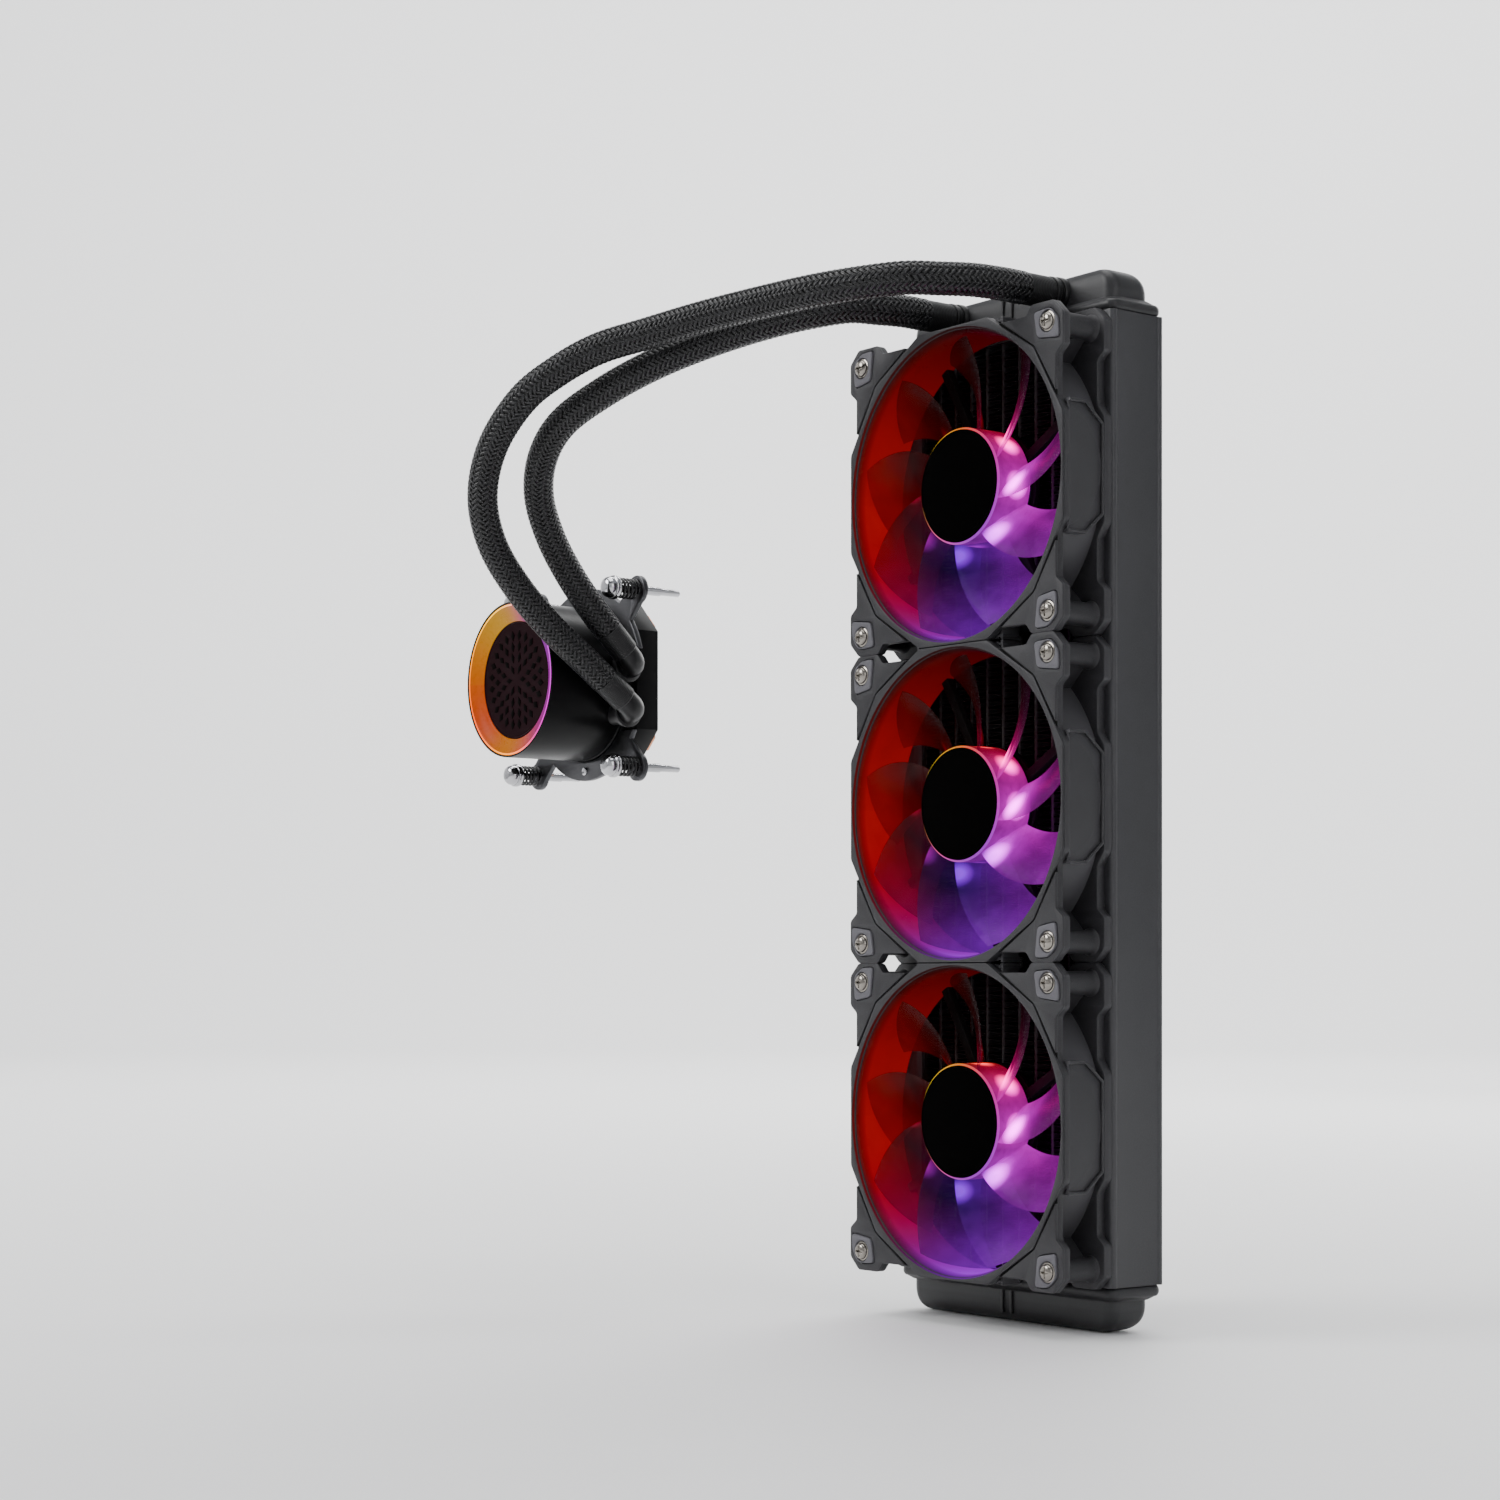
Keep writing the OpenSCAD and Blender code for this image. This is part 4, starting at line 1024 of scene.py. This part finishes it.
def helix_line(radius, z0, z1, turns, per_turn=24):
    steps = turns * per_turn
    return [
        (radius * math.cos(2 * math.pi * i / per_turn), radius * math.sin(2 * math.pi * i / per_turn),
         z0 + (z1 - z0) * i / steps)
        for i in range(steps + 1)
    ]


add_fixed("fins_folded", fins_mesh(), "fin_black", "fin_pack")
dome = dome_mesh()
add_fixed("inlet_tank_shell", dome, "tank_black", "inlet_tank")
lower = joined([(dome, Matrix.Scale(-1, 4, (0, 0, 1)), 0)])
lower.flip_normals()
add_fixed("return_tank_shell", lower, "tank_black", "return_tank")
for side_name in ("left", "right"):
    node = "side_channel_" + side_name
    add_fixed(node + "_pressed", softened(node, 0.35), "channel_charcoal", node)
add_fixed("ferrules_turned", joined([port_part(x) for x in PORTS_X]), "fitting_black", "port_ferrules")

# ---- fittings and pump head

PUMP = facing(*PUMP_AT)
SUPPLY_BEND, SUPPLY_LEG = (-178, -72, 47), (0, -4, 3)
RETURN_BEND, RETURN_LEG = (-178, -72, 66), (0, -1, 1)
LEG_TO_CUFF = 7.0


def elbow_mesh(bend, leg):
    """A tube that leaves the pump sideways, with a collar, and turns through a smooth bend to its cuff."""
    bend = np.array(bend, float)
    leg = np.array(leg, float) / np.linalg.norm(leg)
    back = np.array((-1.0, 0, 0))
    collar = (16.5, 5.3), (6.7, 5.3), (6.65, 6.5), (6.4, 6.8), (4.5, 6.8), (4.25, 6.5), (4.2, 5.3)
    stations = [(bend + back * reach, radius) for reach, radius in collar]
    for t in np.linspace(0, 1, 9)[1:]:
        point = (1 - t) ** 2 * (bend + back * 4.2) + 2 * t * (1 - t) * bend + t * t * (bend + leg * 4.6)
        stations.append((point, 5.3))
    end = (6.0, 5.3), (6.9, 5.25), (7.05, 4.0), (18, 3.85)
    stations += [(bend + leg * reach, radius) for reach, radius in end]
    return sweep([s[0] for s in stations], [s[1] for s in stations], 40, 45)


cuffs = [(cuff_mesh(13.0), facing(x, -29, PORT_Z), 0) for x in PORTS_X]
for bend, leg, reach in ((SUPPLY_BEND, SUPPLY_LEG, 20.0), (RETURN_BEND, RETURN_LEG, 19.8)):
    start = np.array(bend) + np.array(leg) / np.linalg.norm(leg) * LEG_TO_CUFF
    cuffs.append((cuff_mesh(reach - LEG_TO_CUFF), pointing(start, leg), 0))
add_fixed("cuffs_shrunk", joined(cuffs), "cuff_rubber", "hose_cuffs")
for name, bend, leg in (("supply", SUPPLY_BEND, SUPPLY_LEG), ("return", RETURN_BEND, RETURN_LEG)):
    add_fixed(name + "_elbow_bent", elbow_mesh(bend, leg), "fitting_black", name + "_elbow")

PUMP_R = 33.0
cover = rounded_profile([
    (31.2, 14.1), (PUMP_R, 14.1), (PUMP_R, 16.9), (32.55, 17.2), (32.55, 17.9), (PUMP_R, 18.2), (PUMP_R, 55.9),
    (32.25, 56.0), (32.25, 46.6), (31.2, 46.6),
], 0.25)
cover_mesh = lathe(cover, 144, 35)
dish = [(25.25, 46.6), (32.0, 46.6), (32.05, 55.55), (31.75, 55.75), (31.3, 55.6), (30.6, 54.9), (29.4, 54.0),
        (28.0, 53.3), (26.6, 52.85), (25.5, 52.6), (25.25, 52.45)]


def face_mesh():
    """The recessed black face: a rimmed disc with rings of small raised lozenges."""
    disc = [(0, 50.05), (25.05, 50.05), (25.05, 52.2), (24.85, 52.4), (24.4, 52.4), (24.2, 52.2), (0, 52.2)]
    parts = [(lathe(disc, 120, 35), STILL, 0)]
    for ring, (radius, count) in enumerate(((5.2, 6), (9.8, 12), (14.4, 18), (19.0, 24))):
        long, wide = 2.25, 1.15 + 0.13 * ring
        lozenge = plate([[(-long, 0), (0, -wide), (long, 0), (0, wide)]], 52.15, 52.38, 0.06)
        for k in range(count):
            turn = Matrix.Rotation(2 * math.pi * (k + 0.5 * (ring % 2)) / count, 4, "Z")
            parts.append((lozenge, turn @ Matrix.Translation((radius * MM, 0, 0)), 1))
    return joined(parts)


add_fixed("cover_turned", placed(cover_mesh, PUMP), "pump_black", "pump_cover")
dish_slots = [0, 0, 1, 1, 0, 0, 0, 0, 0, 0, 0]
add_piece("light_ring_dished", placed(lathe(dish, 144, 50, dish_slots), PUMP), ROOT,
          (ring_glow, ring_rim), "pump_diffuser", "pump_light_ring")
add_piece("face_patterned", placed(face_mesh(), PUMP), ROOT,
          (MATERIALS["pump_face"], MATERIALS["face_cells"]), "pump_face", "pump_face_cap")
bolt = lathe([
    (0, -6), (1.2, -6), (1.5, -5.5), (1.5, 4), (1.9, 4.2), (1.9, 26.8), (4.9, 27.0), (5.0, 27.3), (5.0, 28.7),
    (4.8, 29.0), (4.45, 29.1), (4.4, 30.2), (4.1, 31.3), (3.5, 32.2), (2.6, 32.75), (1.4, 32.9), (0, 32.9),
], 48, 40)
coil = sweep(helix_line(3.9, 17.05, 26.45, 5), [0.5] * 121, 12, 60)
studs = [PUMP @ Matrix.Translation((x * MM, y * MM, 0)) for x in (-37.5, 37.5) for y in (-37.5, 37.5)]
add_fixed("bolts_domed", joined([(bolt, at, 0) for at in studs]), "screw_chrome", "bracket_screws")
add_fixed("springs_coiled", joined([(coil, at, 0) for at in studs]), "spring_black", "bracket_springs")
bracket_parts = [(softened("mounting_bracket", 0.4), STILL, 0)]
rivet = [(0, 16.4), (1.7, 16.4), (1.7, 17.3), (0.8, 17.5), (0.7, 17.1), (0, 17.1)]
rivet_mesh = lathe(rounded_profile(rivet, 0.12), 24, 40)
for a in (90, 180, 270):
    spin = Matrix.Rotation(math.radians(a), 4, "Z") @ Matrix.Translation((37.4 * MM, 0, 0))
    bracket_parts.append((rivet_mesh, PUMP @ spin, 1))
add_piece("bracket_pressed", joined(bracket_parts), ROOT,
          (MATERIALS["bracket_steel"], MATERIALS["screw_chrome"]), "bracket_steel", "mounting_bracket")
add_fixed("base_moulded", softened("pump_base", 0.5), "pump_black", "pump_base")
add_fixed("cold_plate_machined", softened("cold_plate", 0.25), "copper", "cold_plate")

# ---- CAD nodes that stay

for part in frame["record"]["subparts"]:
    stays = frame["nodes"][part["node"]]
    stays.data.materials.clear()
    stays.data.materials.append(MATERIALS[part["material_slot"]])

# ---- floor and light

FLOOR_Z = -0.1972
BEND_START, BEND_R, WALL_TOP = 4.0, 1.2, 3.4


def studio_floor():
    """A wide round floor that curves up into a wall all the way round, so there is no horizon."""
    profile = [(0.01, 0.0), (1.0, 0.0), (2.5, 0.0)]
    for a in np.linspace(0, math.pi / 2, 14):
        profile.append((BEND_START + BEND_R * math.sin(a), BEND_R * (1 - math.cos(a))))
    profile.append((BEND_START + BEND_R, WALL_TOP))
    segments = 96
    verts, faces = [], []
    for k in range(segments):
        a = 2 * math.pi * k / segments
        verts += [(r * math.cos(a), r * math.sin(a), FLOOR_Z + h) for r, h in profile]
    count = len(profile)
    for k in range(segments):
        here, there = k * count, (k + 1) % segments * count
        faces += [(here + i, here + i + 1, there + i + 1, there + i) for i in range(count - 1)]
    faces.append(tuple(k * count for k in range(segments)))
    mesh = bpy.data.meshes.new("floor")
    mesh.from_pydata(verts, [], faces)
    mesh.polygons.foreach_set("use_smooth", [True] * len(mesh.polygons))
    floor = new_object("floor", mesh)
    shader = Shader("floor_pale", Roughness=0.6)
    shader.to(shader.mix(shader.span(shader.noise(1500, 2), 0.3, 0.7), grey(0.86), grey(0.89)), "Base Color")
    mesh.materials.append(shader.material)


studio_floor()


def area_light(name, location, aim, size, power):
    data = bpy.data.lights.new(name, "AREA")
    data.shape = "RECTANGLE"
    data.size, data.size_y = size
    data.energy = power
    lamp = new_object(name, data)
    lamp.location = location
    lamp.rotation_euler = (Vector(aim) - Vector(location)).to_track_quat("-Z", "Y").to_euler()


area_light("key", (-0.9, -1.6, 1.2), (-0.05, -0.05, 0.0), (1.0, 1.0), 27)
area_light("side_fill", (1.8, -0.4, 0.7), (0, 0, 0), (0.8, 1.6), 6)
area_light("top", (-0.1, -0.2, 1.8), (-0.05, 0, 0), (1.6, 1.2), 20)
area_light("back", (-0.6, 1.7, 0.9), (0, 0, 0.05), (1.4, 1.2), 14)
area_light("wall_wash", (-1.2, 1.5, 2.8), (-4.2, 3.0, 0.2), (2.0, 1.4), 230)
world = bpy.data.worlds.new("studio")
world.use_nodes = True
world.node_tree.nodes["Background"].inputs[0].default_value = (0.93, 0.95, 1.0, 1)
world.node_tree.nodes["Background"].inputs[1].default_value = 0.42
bpy.context.scene.world = world
